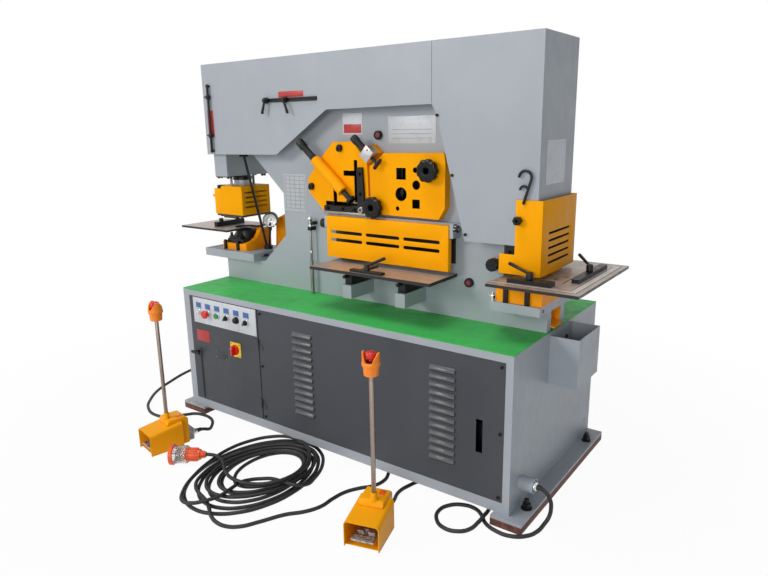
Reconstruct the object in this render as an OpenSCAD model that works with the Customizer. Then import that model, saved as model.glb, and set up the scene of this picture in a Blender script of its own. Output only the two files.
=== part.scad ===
// Dual-cylinder hydraulic ironworker.
// Punching at the left end, section and flat-bar shearing in the middle, notching at the
// right end, on a base cabinet with an electrical door, plus two foot pedals and a power
// cord with a round industrial plug.
// Millimetres. X runs right along the front, Y runs to the back, Z is up.
// The finished part stands with its floor at Z = 0 and its outline centred on the origin.

/* [Base cabinet] */
// Cabinet length along the front
cab_l = 1900; // [1800:10:2400]
// Cabinet depth
cab_d = 890; // [800:10:1100]
// Cabinet height from the foot plates to the top sheet
cab_h = 650; // [540:10:800]
// Sheet thickness of the cabinet walls
wall = 4; // [3:0.5:6]
// Thickness of the top plate that carries the frame
deck_t = 20; // [12:1:30]
// Thickness of the foot plates
foot_t = 12; // [8:1:20]
// Height of the skid boards
skid_h = 30; // [20:1:60]
// Thickness of the rubber mat
mat_t = 5; // [3:0.5:8]
// Width of the electrical door
door_w = 506; // [440:2:520]

/* [Frame and covers] */
// Thickness of each frame plate
plate_t = 40; // [30:1:50]
// Clear gap between the two frame plates
frame_gap = 100; // [90:1:120]
// Height of the covers above the cabinet top
frame_rise = 1138; // [1120:2:1300]
// Sheet thickness of the covers
cover_t = 4; // [2:0.5:6]

/* [Punch] */
// Working stroke of the punch ram
punch_stroke = 80; // [40:1:85]
// Diameter of the ram rod
punch_rod_d = 70; // [50:1:80]
// Bore of the punch cylinder
punch_bore = 100; // [90:1:112]
// Diameter of the punch tip
punch_tip_d = 25; // [8:1:30]
// Outer diameter of the die holder
die_holder_d = 110; // [80:1:116]

/* [Shears] */
// Diameter of the pivot pin of the shear beam
pin_d = 90; // [60:1:110]
// Thickness of the shear beam
beam_t = 56; // [40:1:80]
// Diameter of the shear cylinder's rod
shear_rod_d = 80; // [60:1:90]
// Bore of the shear cylinder
shear_bore = 150; // [120:1:160]
// Side of the square bar hole
square_hole = 50; // [20:1:54]
// Diameter of the largest round bar hole
round_hole = 60; // [20:1:66]
// Length of the flat-bar opening
flat_slot = 600; // [480:5:620]

/* [Notcher] */
// Width of the notch punch
notch_w = 80; // [50:1:86]
// Clearance of the notch punch in its die on each side
notch_gap = 6; // [5:0.5:8]
// Width of the notching table to the right of the punch
notch_reach = 277; // [240:1:320]

/* [Pedals and cords] */
// Width of a pedal hood
hood_w = 140; // [120:2:160]
// Height of a pedal hood over the floor
hood_h = 118; // [105:1:130]
// Height of the stop-button pole over the hood
pole_h = 500; // [350:5:700]
// Outside diameter of all cords
cord_d = 16; // [12:0.5:18]

/* [Fits] */
// Radial clearance of shafts in bores
run = 0.05; // [0.02:0.01:0.1]
// Gap between separate bodies that slide or swing past each other
gap = 0.3; // [0.2:0.05:0.6]
// Gap around the door
door_gap = 3; // [2:0.5:5]

/* [Hidden] */
sheet_grey = [0.63, 0.67, 0.71];
panel_grey = [0.29, 0.30, 0.33];
safety_yellow = [1.0, 0.62, 0.0];
mat_green = [0.12, 0.45, 0.2];
black = [0.08, 0.08, 0.09];
steel = [0.55, 0.53, 0.52];
bright = [0.8, 0.8, 0.82];
orange = [0.95, 0.42, 0.05];
brown = [0.36, 0.2, 0.17];
red = [0.85, 0.08, 0.08];

// levels
zt = cab_h;
zd = cab_h + mat_t;
z_foot = -foot_t - skid_h;
z_top = zt + frame_rise;
jaw_left_z = zt + 123;
punch_bed_z = zt + 165;
jaw_right_z = zt + 96;
notch_bed_z = zt + 133;
table_z = zt + 284;
notch_table_z = zt + 230;
bar_table_z = zt + 200;

// stations along X, and the middle of the frame in Y
px = 70;
sx = cab_l * 0.55 + 5;
nx = cab_l - 90;
yc = cab_d / 2 - 45;
y1 = yc - frame_gap / 2;
y0 = y1 - plate_t;
y2 = yc + frame_gap / 2;
y3 = y2 + plate_t;
cover_y0 = yc - 168;
cover_y1 = yc + 168;

// door, panel and controls
front_x0 = 45;
front_x1 = cab_l - 30;
front_z0 = 45;
front_z1 = cab_h - 30;
door_x0 = front_x0 + door_gap;
door_x1 = door_x0 + door_w;
panel_x0 = door_x1 + 6;
hinge_x = door_x1 + 3;
hinge_y = -6;
control_x0 = 120;
control_pitch = 72;
control_z = cab_h - 110;
latch_x = 95;
latch_z = cab_h * 0.49;
switch_x = 386;
switch_z = cab_h - 269;

// pivot of the shear beam and the rod above it
pivot_x = sx - 430;
pivot_z = zt + 380;
rod_x0 = sx + 550;
pad_z = zt + 650;

// pedal places: middle of the mouth on the floor, and how far each is turned
left_x = 210;
left_y = -450;
left_turn = -12;
right_x = cab_l - 379;
right_y = -438;
right_turn = 15.5;
hood_d = 165;
pole_x = 8;
pole_y = 115;
hood_z = z_foot + hood_h;
block_z = hood_z + 24;
head_z = block_z + pole_h;
gland_z = z_foot + 32;

// outline, for the shift that centres the part
x_min = px - 360;
x_max = nx + notch_reach;
y_min = left_y - hood_w / 2 * sin(-left_turn);
y_max = cab_d + 15;

// ---------- helpers ----------

module placed()
  translate([-(x_min + x_max) / 2, -(y_min + y_max) / 2, -z_foot]) children();

module box(xa, xb, ya, yb, za, zb)
  translate([xa, ya, za]) cube([xb - xa, yb - ya, zb - za]);

module rod_x(xa, xb, y, z, d)
  translate([xa, y, z]) rotate([0, 90, 0]) cylinder(h = xb - xa, d = d);

module rod_y(x, ya, yb, z, d)
  translate([x, ya, z]) rotate([-90, 0, 0]) cylinder(h = yb - ya, d = d);

module rod_z(x, y, za, zb, d)
  translate([x, y, za]) cylinder(h = zb - za, d = d);

module cone_z(x, y, za, zb, da, db)
  translate([x, y, za]) cylinder(h = zb - za, d1 = da, d2 = db);

// straight round bar between two points
module bar_between(a, b, d, sides = 0) {
  v = b - a;
  l = norm(v);
  translate(a) rotate([0, acos(v[2] / l), atan2(v[1], v[0])]) cylinder(h = l, d = d, $fn = sides);
}

// outline given as [x, z] points, as a plate from ya to yb
module plate(ya, yb, pts)
  translate([0, yb, 0]) rotate([90, 0, 0]) linear_extrude(height = yb - ya) polygon(pts);

// places what is drawn in a pedal's own frame: x across, y from its mouth to the back
module at_left() translate([left_x, left_y, 0]) rotate([0, 0, left_turn]) children();
module at_right() translate([right_x, right_y, 0]) rotate([0, 0, right_turn]) children();

// a point of a pedal's own frame, in machine coordinates
function turn_pt(c, a, p) =
  [c[0] + p[0] * cos(a) - p[1] * sin(a), c[1] + p[0] * sin(a) + p[1] * cos(a), p[2]];

// round cord through the points, each ring square to the local direction
function dir_at(p, i) =
  let (n = len(p), a = p[max(0, i - 1)], b = p[min(n - 1, i + 1)]) (b - a) / norm(b - a);
function side_of(t) =
  let (u = abs(t[2]) > 0.9 ? [1, 0, 0] : [0, 0, 1], s = cross(t, u)) s / norm(s);
// the side vector is carried from ring to ring so the tube doesn't twist
function carry(s, t) = let (q = s - (s * t) * t) q / norm(q);
function sides(p, i) = i == 0 ? [side_of(dir_at(p, 0))]
  : let (before = sides(p, i - 1)) concat(before, [carry(before[i - 1], dir_at(p, i))]);
module tube(p, d, n = 8) {
  m = len(p);
  ss = sides(p, m - 1);
  pts = [for (i = [0 : m - 1]) let (t = dir_at(p, i), s = ss[i], u = cross(t, s))
    for (k = [0 : n - 1]) p[i] + d / 2 * (cos(360 * k / n) * s + sin(360 * k / n) * u)];
  body = [for (i = [0 : m - 2]) for (k = [0 : n - 1])
    [i * n + k, i * n + (k + 1) % n, (i + 1) * n + (k + 1) % n, (i + 1) * n + k]];
  first = [for (k = [0 : n - 1]) n - 1 - k];
  last = [for (k = [0 : n - 1]) (m - 1) * n + k];
  polyhedron(points = pts, faces = concat([first, last], body), convexity = 6);
}

// ---------- base cabinet ----------

stub_y = 100;
stub_z = 100;
stub_l = 60;

module side_stub(x) difference() {
  rod_x(x, x + stub_l, stub_y, stub_z, 58);
  rod_x(x - 1, x + stub_l + 1, stub_y, stub_z, 50);
}

foot_left_y = -12;
foot_right_y = -30;

// outlines of the two feet, shared by the plates and the skid boards
module feet(za, zb) {
  box(-65, 105, foot_left_y, cab_d + 15, za, zb);
  box(cab_l - 65, cab_l + 65, foot_right_y, cab_d + 15, za, zb);
}

// cable gland inside a stub: web, nut and neck, with its outer face at x_face
module stub_gland(x_face, s) {
  xa = s > 0 ? x_face - 40 : x_face;
  rod_x(xa, xa + 40, stub_y, stub_z, 34);
  xw = s > 0 ? x_face - 40 : x_face + 30;
  rod_x(xw, xw + 10, stub_y, stub_z, 52);
}

module cabinet_shell() color(sheet_grey) difference() {
  union() {
    difference() {
      box(0, cab_l, 0, cab_d, 0, cab_h);
      box(wall, cab_l - wall, wall, cab_d - wall, wall, cab_h - deck_t);
      box(front_x0, front_x1, -1, wall + 1, front_z0, front_z1);
    }
    // post behind the seam of door and panel
    box(door_x1 - 14, door_x1 + 50, 22, 60, wall, cab_h - deck_t);
    box(door_x1 + 10, door_x1 + 14, 60, cab_d - wall, wall, cab_h - deck_t);
    feet(-foot_t, 0);
    side_stub(cab_l);
    side_stub(-stub_l);
    stub_gland(cab_l + stub_l + 5, 1);
    stub_gland(-stub_l - 5, -1);
    // gland of the power cord under the bottom sheet
    rod_z(power_x, power_y, -8, wall, 34);
  }
  // small hole in the right side
  rod_x(cab_l - wall - 1, cab_l + 1, cab_d - 65, 83, 14);
}

module skid_strips() color(brown) feet(z_foot, -foot_t);

module anchor(x, y) {
  rod_z(x, y, 0, 4, 44);
  translate([x, y, 4]) cylinder(h = 20, d = 34, $fn = 6);
  rod_z(x, y, 24, 40, 20);
}

module cap_screw(x, y, z, d) {
  difference() {
    rod_y(x, y - d * 0.6, y, z, d);
    translate([x, y - d * 0.6 - 1, z]) rotate([-90, 0, 0]) cylinder(h = d * 0.3 + 1, d = d / 2, $fn = 6);
  }
}

module fasteners() color(black) {
  for (x = [-33, cab_l + 33]) for (y = [90, cab_d - 115]) anchor(x, y);
  for (x = [panel_x0 + 16, front_x1 - 16])
    for (z = [front_z0 + 20, (front_z0 + front_z1) / 2, front_z1 - 20]) cap_screw(x, 0, z, 12);
  for (p = [[cab_l - 470, zt + 855], [cab_l - 399, zt + 620], [cab_l - 335, zt + 385]])
    cap_screw(p[0], cover_y0, p[1], 12);
  for (p = [[sx - 163, zt + 719], [sx - 344, zt + 539]]) cap_screw(p[0], y0 - 40, p[1], 26);
  // clamping knob of the flat-bar guard's left hinge ear, and the bolt of its right ear
  rod_x(sx - 280, sx - 252, y0 - 45, zt + 372, 44);
  rod_x(sx + 450, sx + 470, y0 - 56, zt + 400, 28);
  // bolts in the bin's inner wall
  for (y = [yc + 10, yc + 110]) rod_x(cab_l + 3, cab_l + 9, y, zt - 60, 16);
}

module top_mat() color(mat_green) difference() {
  box(0, cab_l, 0, cab_d, zt, zd);
  box(5, cab_l - 5, y0, y3, zt - 1, zd + 1);
}

module louvre(x0l, x1l, z) {
  difference() {
    box(x0l, x1l, -7, 0, z, z + 16);
    translate([x0l + 2, -10, z - 1]) box(0, x1l - x0l - 4, 5, 11, 0, 14);
  }
}

louvre_n = 12;
louvre_step = (cab_h - 230) / louvre_n;

module access_panel() color(panel_grey) {
  difference() {
    union() {
      difference() {
        box(panel_x0, front_x1, 0, 20, front_z0, front_z1);
        box(panel_x0 + 3, front_x1 - 3, 3, 21, front_z0 + 3, front_z1 - 3);
      }
      for (x = [sx - 255, cab_l - 355]) for (i = [0 : louvre_n - 1])
        louvre(x, x + 110, 144 + i * louvre_step);
    }
    for (x = [sx - 255, cab_l - 355]) for (i = [0 : louvre_n - 1])
      box(x + 3, x + 107, -3, 4, 144 + i * louvre_step - 1, 144 + i * louvre_step + 12);
    // sight slot
    box(cab_l - 149, cab_l - 120, -1, 4, 230, 369);
  }
  // fixed hinge leaves and knuckles with their pins
  for (z = [front_z0 + 60, front_z1 - 205]) {
    box(hinge_x, panel_x0 + 26, -3, 0, z, z + 25);
    rod_z(hinge_x, hinge_y, z, z + 25, 12);
    rod_z(hinge_x, hinge_y, z + 25, z + 52, 6);
  }
}

module scrap_bin() color(sheet_grey) difference() {
  box(cab_l, cab_l + 121, yc - 62, yc + 180, zt - 218, zt - 13);
  box(cab_l + 3, cab_l + 118, yc - 59, yc + 177, zt - 215, zt);
}

// ---------- door and controls ----------

module electrical_door() color(panel_grey) {
  difference() {
    union() {
      difference() {
        box(door_x0, door_x1, 0, 20, front_z0 + door_gap, front_z1 - door_gap);
        box(door_x0 + 3, door_x1 - 3, 3, 21, front_z0 + door_gap + 3, front_z1 - door_gap - 3);
      }
      rod_y(latch_x, -6, 0, latch_z, 40);
      // cover strip of the lock bar
      box(latch_x + 3, latch_x + 15, -3, 0, front_z0 + 10, latch_z - 20);
    }
    rod_y(latch_x, -7, 4, latch_z, 16 + 2 * run);
  }
  for (z = [front_z0 + 60, front_z1 - 205]) difference() {
    union() {
      box(door_x1 - 26, hinge_x, -3, 0, z + 25 + gap, z + 50);
      rod_z(hinge_x, hinge_y, z + 25 + gap, z + 50, 12);
    }
    rod_z(hinge_x, hinge_y, z + 24, z + 53, 6 + 2 * run);
  }
}

function control_x(i) = control_x0 + i * control_pitch;

module bezel(x) difference() {
  rod_y(x, -10, -2, control_z, 31);
  rod_y(x, -11, -2, control_z, 24);
}

module control_plate() color([0.75, 0.77, 0.8]) {
  box(75, 548, -2, 0, zt - 170, front_z1 - door_gap - 1);
  for (i = [1 : 5]) bezel(control_x(i));
  // pilot lamp
  rod_y(control_x(0), -8, -2, control_z, 30);
  rod_y(control_x(0), -16, -8, control_z, 22);
  // legend plates
  for (i = [0 : 5]) box(control_x(i) - 22, control_x(i) + 22, -3, -2, control_z + 26, control_z + 54);
  // backing plate of the main switch
  difference() {
    box(switch_x - 38, switch_x + 38, -3, 0, switch_z - 38, switch_z + 38);
    rod_y(switch_x, -4, 1, switch_z, 12 + 2 * run);
  }
}

module door_latch() color(black) {
  rod_y(latch_x, -24, -1, latch_z, 16);
  box(latch_x - 32, latch_x + 32, -36, -24, latch_z - 8, latch_z + 8);
}

module stop_button() color(red) {
  rod_y(control_x(1), -22, -7, control_z, 23.4);
  rod_y(control_x(1), -34, -22, control_z, 40);
}

module start_button() color([0.05, 0.5, 0.2])
  rod_y(control_x(2), -17, -7.5, control_z, 23.4);

module selector(i, a) {
  rod_y(control_x(i), -15, -2 - gap, control_z, 23.4);
  translate([control_x(i), -22, control_z]) rotate([0, a, 0])
    translate([-12, 0, -4.5]) cube([24, 8, 9]);
}

module selector_left() color(black) selector(3, -45);
module selector_right() color(black) selector(5, -45);
module selector_mid() color(black) {
  rod_y(control_x(4), -18, -7.5, control_z, 23.4);
  rod_y(control_x(4), -22, -18, control_z, 17);
}

module main_switch() color(red) {
  rod_y(switch_x, -14, -3 - gap, switch_z, 52);
  rod_y(switch_x, -3 - gap, -0.3, switch_z, 12);
  box(switch_x - 7, switch_x + 7, -34, -14, switch_z - 25, switch_z + 25);
}

// ---------- main frame and covers ----------

frame_pts = [[5, zt], [cab_l - 5, zt], [cab_l - 5, jaw_right_z], [nx - 110, jaw_right_z],
  [nx - 110, zt + 440], [nx + 50, zt + 440], [nx + 50, zt + 750], [sx + 430, zt + 750],
  [sx + 390, zt + 950], [260, zt + 950], [200, zt + 770], [px - 60, zt + 770],
  [px - 60, zt + 698], [252, zt + 698], [472, zt + 495], [472, zt + 279],
  [305, jaw_left_z], [5, jaw_left_z]];

// windows behind the section shear, and the flat-bar opening
module frame_windows() {
  box(sx - 275, sx - 50, y0 - 1, y3 + 1, zt + 445, zt + 675);
  box(sx + 130, sx + 280, y0 - 1, y3 + 1, zt + 448, zt + 655);
  box(sx + 100 - flat_slot / 2, sx + 100 + flat_slot / 2, y0 - 1, y3 + 1,
    bar_table_z - 3, bar_table_z + 35);
}

module main_frame() color(sheet_grey) {
  difference() {
    union() {
      plate(y0, y1, frame_pts);
      plate(y2, y3, frame_pts);
      // spacers between the plates
      box(480, nx - 120, y1, y2, zt, zt + 90);
      box(475, 520, y1, y2, zt + 300, zt + 620);
      box(250, sx + 380, y1, y2, zt + 760, zt + 900);
      // bolsters of the punch and the notcher
      box(px - 200, px + 192, yc - 130, yc + 130, jaw_left_z, punch_bed_z);
      box(nx - 115, nx + 95, yc - 195, yc + 195, jaw_right_z, notch_bed_z);
      // fixed lower blade seat of the flat-bar shear
      box(sx + 100 - flat_slot / 2, sx + 100 + flat_slot / 2, y1, yc - beam_t / 2 - gap,
        zt + 90, bar_table_z - 3);
    }
    frame_windows();
    // slug holes
    rod_z(px, yc, jaw_left_z - 1, punch_bed_z + 1, 60);
    box(nx - 60, nx + 60, yc - 45, yc + 45, jaw_right_z - 1, notch_bed_z + 1);
  }
  // pivot pin of the beam with a thrust collar on each side
  rod_y(pivot_x, y1 - 5, y2 + 5, pivot_z, pin_d);
  rod_y(pivot_x, y1, yc - beam_t / 2 - gap, pivot_z, pin_d + 40);
  rod_y(pivot_x, yc + beam_t / 2 + gap, y2, pivot_z, pin_d + 40);
  // ledge above the flat-bar guard with the ears and pins of its hinge
  box(sx - 250, sx + 470, y0 - 38, y0, zt + 390, zt + 419);
  box(sx - 252, sx - 238, y0 - 66, y0 - 38, zt + 355, zt + 412);
  box(sx + 433, sx + 450, y0 - 66, y0 - 38, zt + 360, zt + 420);
  box(sx - 252, sx - 238, y0 - 38, y0, zt + 355, zt + 390);
  box(sx + 433, sx + 450, y0 - 38, y0, zt + 360, zt + 390);
  rod_x(sx - 238, sx - 231, y0 - 58, zt + 400, 10);
  rod_x(sx + 426, sx + 433, y0 - 58, zt + 400, 10);
  // brackets of the flat-bar table
  for (x = [sx - 65, sx + 227]) box(x, x + 50, y0 - 170, y0, zt + 59, zt + 121);
}

arm_pts = [[0, zt + 686], [sx - 538, zt + 690], [sx - 207, zt + 893], [cab_l - 498, zt + 899],
  [cab_l - 498, z_top], [0, z_top]];
right_pts = [[cab_l - 498, z_top], [cab_l - 498, zt + 899], [cab_l - 471, zt + 849],
  [cab_l - 340, zt + 358], [cab_l - 30, zt + 360], [cab_l - 30, z_top]];

module arm_cover() color(sheet_grey) {
  plate(cover_y0, cover_y0 + cover_t, arm_pts);
  plate(cover_y1 - cover_t, cover_y1, arm_pts);
  box(0, cover_t, cover_y0, cover_y1, zt + 686, z_top);
  box(0, cab_l - 498, cover_y0, cover_y1, z_top - cover_t, z_top);
  // stand-offs to the frame plates
  for (x = [300, sx - 150, sx + 250]) {
    box(x, x + 30, cover_y0 + cover_t, y0, zt + 905, zt + 935);
    box(x, x + 30, y3, cover_y1 - cover_t, zt + 905, zt + 935);
  }
}

module right_cover() color(sheet_grey) {
  plate(cover_y0, cover_y0 + cover_t, right_pts);
  plate(cover_y1 - cover_t, cover_y1, right_pts);
  box(cab_l - 30 - cover_t, cab_l - 30, cover_y0, cover_y1, zt + 360, z_top);
  box(cab_l - 498, cab_l - 30, cover_y0, cover_y1, z_top - cover_t, z_top);
  for (z = [zt + 460, zt + 700]) {
    box(nx - 90, nx - 60, cover_y0 + cover_t, y0, z, z + 30);
    box(nx - 90, nx - 60, y3, cover_y1 - cover_t, z, z + 30);
  }
}

// ---------- punch station ----------

guide_z = zt + 570;
collar_z = zt + 515;

module cylinder_bodies() color(sheet_grey) {
  // punch cylinder on its bridge plate
  difference() {
    union() {
      box(px - 60, px + 80, y0, y3, zt + 770, zt + 790);
      rod_z(px, yc, zt + 790, zt + 1090, punch_bore + 30);
      box(px - 48, px + 48, yc - 145, yc + 145, guide_z, zt + 698);
    }
    rod_z(px, yc, zt + 815, zt + 1070, punch_bore);
    rod_z(px, yc, guide_z - 1, zt + 816, punch_rod_d + 2 * run);
  }
  // posts the stripper guard slides on
  for (s = [-1, 1]) {
    rod_z(px, yc + s * 80, zt + 500, guide_z, 14);
    rod_z(px, yc + s * 80, zt + 490, zt + 500, 24);
  }
  // shear cylinder on the frame
  difference() {
    rod_z(rod_x0, yc, zt + 750, zt + 1110, shear_bore + 40);
    rod_z(rod_x0, yc, zt + 780, zt + 1085, shear_bore);
    rod_z(rod_x0, yc, zt + 749, zt + 781, shear_rod_d + 2 * run);
  }
}

module punch_ram() color(bright) {
  rod_z(px, yc, zt + 995, zt + 1055, punch_bore - 2 * run);
  rod_z(px, yc, collar_z + 50, zt + 995, punch_rod_d);
  rod_z(px, yc, collar_z, collar_z + 50, 90);
  cone_z(px, yc, collar_z - 60, collar_z, 50, 70);
  rod_z(px, yc, punch_bed_z + 90 + punch_stroke, collar_z - 60, punch_tip_d);
}

module punch_die_set() color(orange) {
  difference() {
    union() {
      box(px - 95, px + 95, yc - 90, yc + 100, punch_bed_z, punch_bed_z + 60);
      // walls that carry the table
      box(px - 95, px - 60, yc - 90, yc + 100, punch_bed_z + 60, table_z - 11);
      box(px - 60, px + 65, yc + 60, yc + 100, punch_bed_z + 60, table_z - 11);
      plate(yc - 90, yc + 100, [[px + 65, punch_bed_z + 60], [px + 95, punch_bed_z + 60],
        [px + 80, punch_bed_z + 115], [px + 65, punch_bed_z + 115]]);
    }
    rod_z(px, yc, punch_bed_z - 1, punch_bed_z + 61, 60);
    rod_z(px, yc, punch_bed_z + 60, table_z, die_holder_d);
  }
  // die holder with its die hole
  difference() {
    rod_z(px, yc, punch_bed_z + 60, table_z - 4, die_holder_d);
    rod_z(px, yc, punch_bed_z + 59, table_z + 1, punch_tip_d + 2);
    rod_z(px, yc, punch_bed_z + 59, table_z - 30, punch_tip_d + 12);
  }
  // clamps across the front, and the gusset at the back
  for (x = [px - 75, px + 25]) box(x, x + 14, yc - 98, yc - 90, punch_bed_z, punch_bed_z + 66);
  plate(yc + 105, yc + 113, [[px + 125, punch_bed_z], [px + 190, punch_bed_z],
    [px + 205, zt + 250], [px + 201, zt + 352], [px + 136, zt + 323]]);
}

module punch_table() color(steel) difference() {
  box(px - 360, px + 28, yc - 160, yc + 160, table_z - 11, table_z);
  rod_z(px, yc, table_z - 12, table_z + 1, die_holder_d + 8);
  box(px, px + 29, yc - die_holder_d / 2 - 4, yc + die_holder_d / 2 + 4, table_z - 12, table_z + 1);
}

module punch_fence() color(black) {
  box(px - 145, px - 120, yc - 100, yc + 100, table_z + gap, table_z + 26);
  rod_z(px - 132, yc - 60, table_z + 26, table_z + 44, 24);
  rod_z(px - 132, yc + 60, table_z + 26, table_z + 44, 24);
}

guard_z0 = zt + 361;
guard_z1 = zt + 515;

module punch_guard() color(safety_yellow) difference() {
  union() {
    difference() {
      box(px - 120, px + 100, yc - 102, yc + 102, guard_z0, guard_z1);
      box(px - 117, px + 97, yc - 99, yc + 99, guard_z0 - 1, guard_z1 - 3);
    }
    box(px - 150, px - 120, yc - 102, yc - 40, guard_z0 + 94, guard_z0 + 100);
  }
  rod_z(px, yc, guard_z1 - 4, guard_z1 + 1, 110);
  for (s = [-1, 1]) rod_z(px, yc + s * 80, guard_z1 - 4, guard_z1 + 1, 14 + 2 * run);
  for (i = [0 : 3]) box(px + 96, px + 101, yc - 82, yc + 80, guard_z0 + 38 + i * 26, guard_z0 + 46 + i * 26);
}

lamp_base = [px + 142, yc + 30];
lamp_top = [px + 180, yc + 15, zt + 286];
head_c = [px + 188, yc + 12, zt + 332];

module lamp_arm() color(black) {
  rod_z(lamp_base[0], lamp_base[1], punch_bed_z, punch_bed_z + 20, 46);
  bar_between([lamp_base[0] + 9, lamp_base[1] - 3, punch_bed_z + 14], lamp_top - [0, 0, 5], 12, 12);
  bar_between([lamp_base[0] - 8, lamp_base[1] - 2, punch_bed_z + 10], [px + 100, y0 + 20, zt + 684], 14, 12);
  box(px + 80, px + 120, y0 + 8, y0 + 32, zt + 672, zt + 698);
  rod_z(lamp_top[0], lamp_top[1], lamp_top[2] - 12, lamp_top[2], 18);
  rod_z(lamp_top[0], lamp_top[1], lamp_top[2], lamp_top[2] + 8, 8);
}

module lamp_head() color(black) {
  difference() {
    union() {
      rod_z(lamp_top[0], lamp_top[1], lamp_top[2] + gap, lamp_top[2] + 22, 20);
      translate(head_c) rotate([0, 0, 36]) rotate([8, 0, 0]) {
        rod_y(0, -16, 14, 0, 80);
        translate([0, 14, 0]) rotate([-90, 0, 0]) cylinder(h = 30, d1 = 74, d2 = 40);
      }
    }
    rod_z(lamp_top[0], lamp_top[1], lamp_top[2], lamp_top[2] + 8.5, 8 + 2 * run);
  }
}

// ---------- shears ----------

module bar_holes(ya, yb) {
  h = square_hole / 2;
  box(sx + 174 - h, sx + 174 + h, ya, yb, zt + 616 - h, zt + 616 + h);
  box(sx + 231, sx + 270, ya, yb, zt + 470, zt + 509);
  rod_y(sx + 247, ya, yb, zt + 633, 24);
  rod_y(sx + 252, ya, yb, zt + 570, 40);
  rod_y(sx + 173, ya, yb, zt + 528, round_hole);
  rod_y(sx + 154, ya, yb, zt + 465, 20);
}

module angle_slots(ya, yb) {
  box(sx - 260, sx - 65, ya, yb, zt + 458, zt + 478);
  box(sx - 85, sx - 65, ya, yb, zt + 458, zt + 670);
  box(sx - 147, sx - 85, ya, yb, zt + 598, zt + 622);
  box(sx - 212, sx - 190, ya, yb, zt + 478, zt + 542);
}

module shear_beam() color(black) {
  difference() {
    plate(yc - beam_t / 2, yc + beam_t / 2, [[pivot_x - 80, zt + 300], [pivot_x + 140, zt + 280],
      [pivot_x + 280, zt + 250], [sx + 430, zt + 250], [nx - 170, zt + 400], [nx + 40, zt + 425],
      [nx + 40, zt + 550], [rod_x0 + 60, pad_z], [sx + 430, pad_z], [pivot_x + 80, zt + 640],
      [pivot_x - 60, zt + 480]]);
    rod_y(pivot_x, yc - beam_t, yc + beam_t, pivot_z, pin_d + 2 * run);
    bar_holes(yc - beam_t, yc + beam_t);
    angle_slots(yc - beam_t, yc + beam_t);
  }
  // notch head and punch at the beam's end
  box(nx - 76, nx + 42, yc - 150, yc + 150, zt + 335, zt + 425);
  box(nx - notch_w / 2, nx + notch_w / 2, yc - 40, yc + 40, zt + 255, zt + 335);
}

module shear_rod() color(bright) {
  difference() {
    rod_z(rod_x0, yc, pad_z + 0.5, zt + 1010, shear_rod_d);
    difference() {
      rod_z(rod_x0, yc, pad_z, pad_z + 20, shear_rod_d + 10);
      translate([rod_x0, yc, pad_z + 100.5]) sphere(r = 100);
    }
  }
  rod_z(rod_x0, yc, zt + 1010, zt + 1060, shear_bore - 2 * run);
}

screw_y = y0 - 64;
left_plate_pts = [[sx - 206, zt + 749], [sx - 91, zt + 752], [sx - 10, zt + 667],
  [sx - 2, zt + 437], [sx - 265, zt + 420], [sx - 364, zt + 515], [sx - 370, zt + 575],
  [sx - 297, zt + 662]];
right_plate_pts = [[sx + 84, zt + 702], [sx + 389, zt + 705], [sx + 395, zt + 667],
  [sx + 394, zt + 479], [sx + 364, zt + 430], [sx + 9, zt + 433], [sx + 3, zt + 642]];

// screw frames: local X points along the screw, down and to the right
module on_angle_screw() translate([sx - 297, screw_y, zt + 669]) rotate([0, 40.5, 0]) children();
module on_bar_screw() translate([sx + 15, screw_y, zt + 700]) rotate([0, 41.2, 0]) children();

module shear_plates() color(safety_yellow) {
  difference() {
    union() {
      plate(y0 - 40, y0, left_plate_pts);
      plate(y0 - 40, y0, right_plate_pts);
      on_angle_screw() rod_x(0, 215, 0, 0, 52);
      on_angle_screw() box(40, 170, 0, 30, -14, 14);
      on_bar_screw() box(-24, 28, -16, 64, -30, 30);
    }
    angle_slots(y0 - 41, y0 + 1);
    bar_holes(y0 - 41, y0 + 1);
    on_angle_screw() rod_x(-1, 216, 0, 0, 24 + 2 * run);
    on_bar_screw() rod_x(-25, 29, 0, 0, 14 + 2 * run);
    for (p = [[sx + 327, zt + 634], [sx + 38, zt + 465]]) rod_y(p[0], y0 - 41, y0 - 15, p[1], 16 + 2 * run);
  }
}

module angle_holder() color(black) {
  plate(y0 - 54, y0 - 40, [[sx - 260, zt + 433], [sx - 20, zt + 433], [sx - 20, zt + 458],
    [sx - 30, zt + 639], [sx - 59, zt + 639], [sx - 59, zt + 458], [sx - 260, zt + 458]]);
  for (x = [sx - 240, sx - 150, sx - 80]) cap_screw(x, y0 - 54, zt + 446, 16);
  for (z = [zt + 520, zt + 610]) cap_screw(sx - 46, y0 - 54, z, 16);
}

module angle_screw() color(black) on_angle_screw() {
  rod_x(-60, 268, 0, 0, 24);
  rod_x(-129, -50, 0, 0, 34);
  rod_x(268, 280, 0, 0, 44);
}

module bar_screw() color(black) on_bar_screw() {
  rod_x(-36, 62, 0, 0, 14);
  rod_x(-108, -36, 0, 0, 26);
  box(62, 70, -12, 12, -20, 20);
}

module lobed_knob(x, yf, z, d, t) {
  rod_y(x, yf, yf + t, z, d * 0.72);
  for (a = [0 : 60 : 359]) rod_y(x + d * 0.37 * cos(a), yf, yf + t, z + d * 0.37 * sin(a), d * 0.26);
}

module big_knob(x, z) {
  lobed_knob(x, y0 - 84, z, 98, 28);
  rod_y(x, y0 - 56, y0 - 40 - gap, z, 40);
  rod_y(x, y0 - 40 - gap, y0 - 16, z, 16);
}

module knob_upper() color(black) big_knob(sx + 327, zt + 634);
module knob_lower() color(black) big_knob(sx + 38, zt + 465);

bar_x0 = sx - 235;
bar_x1 = sx + 430;

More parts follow.
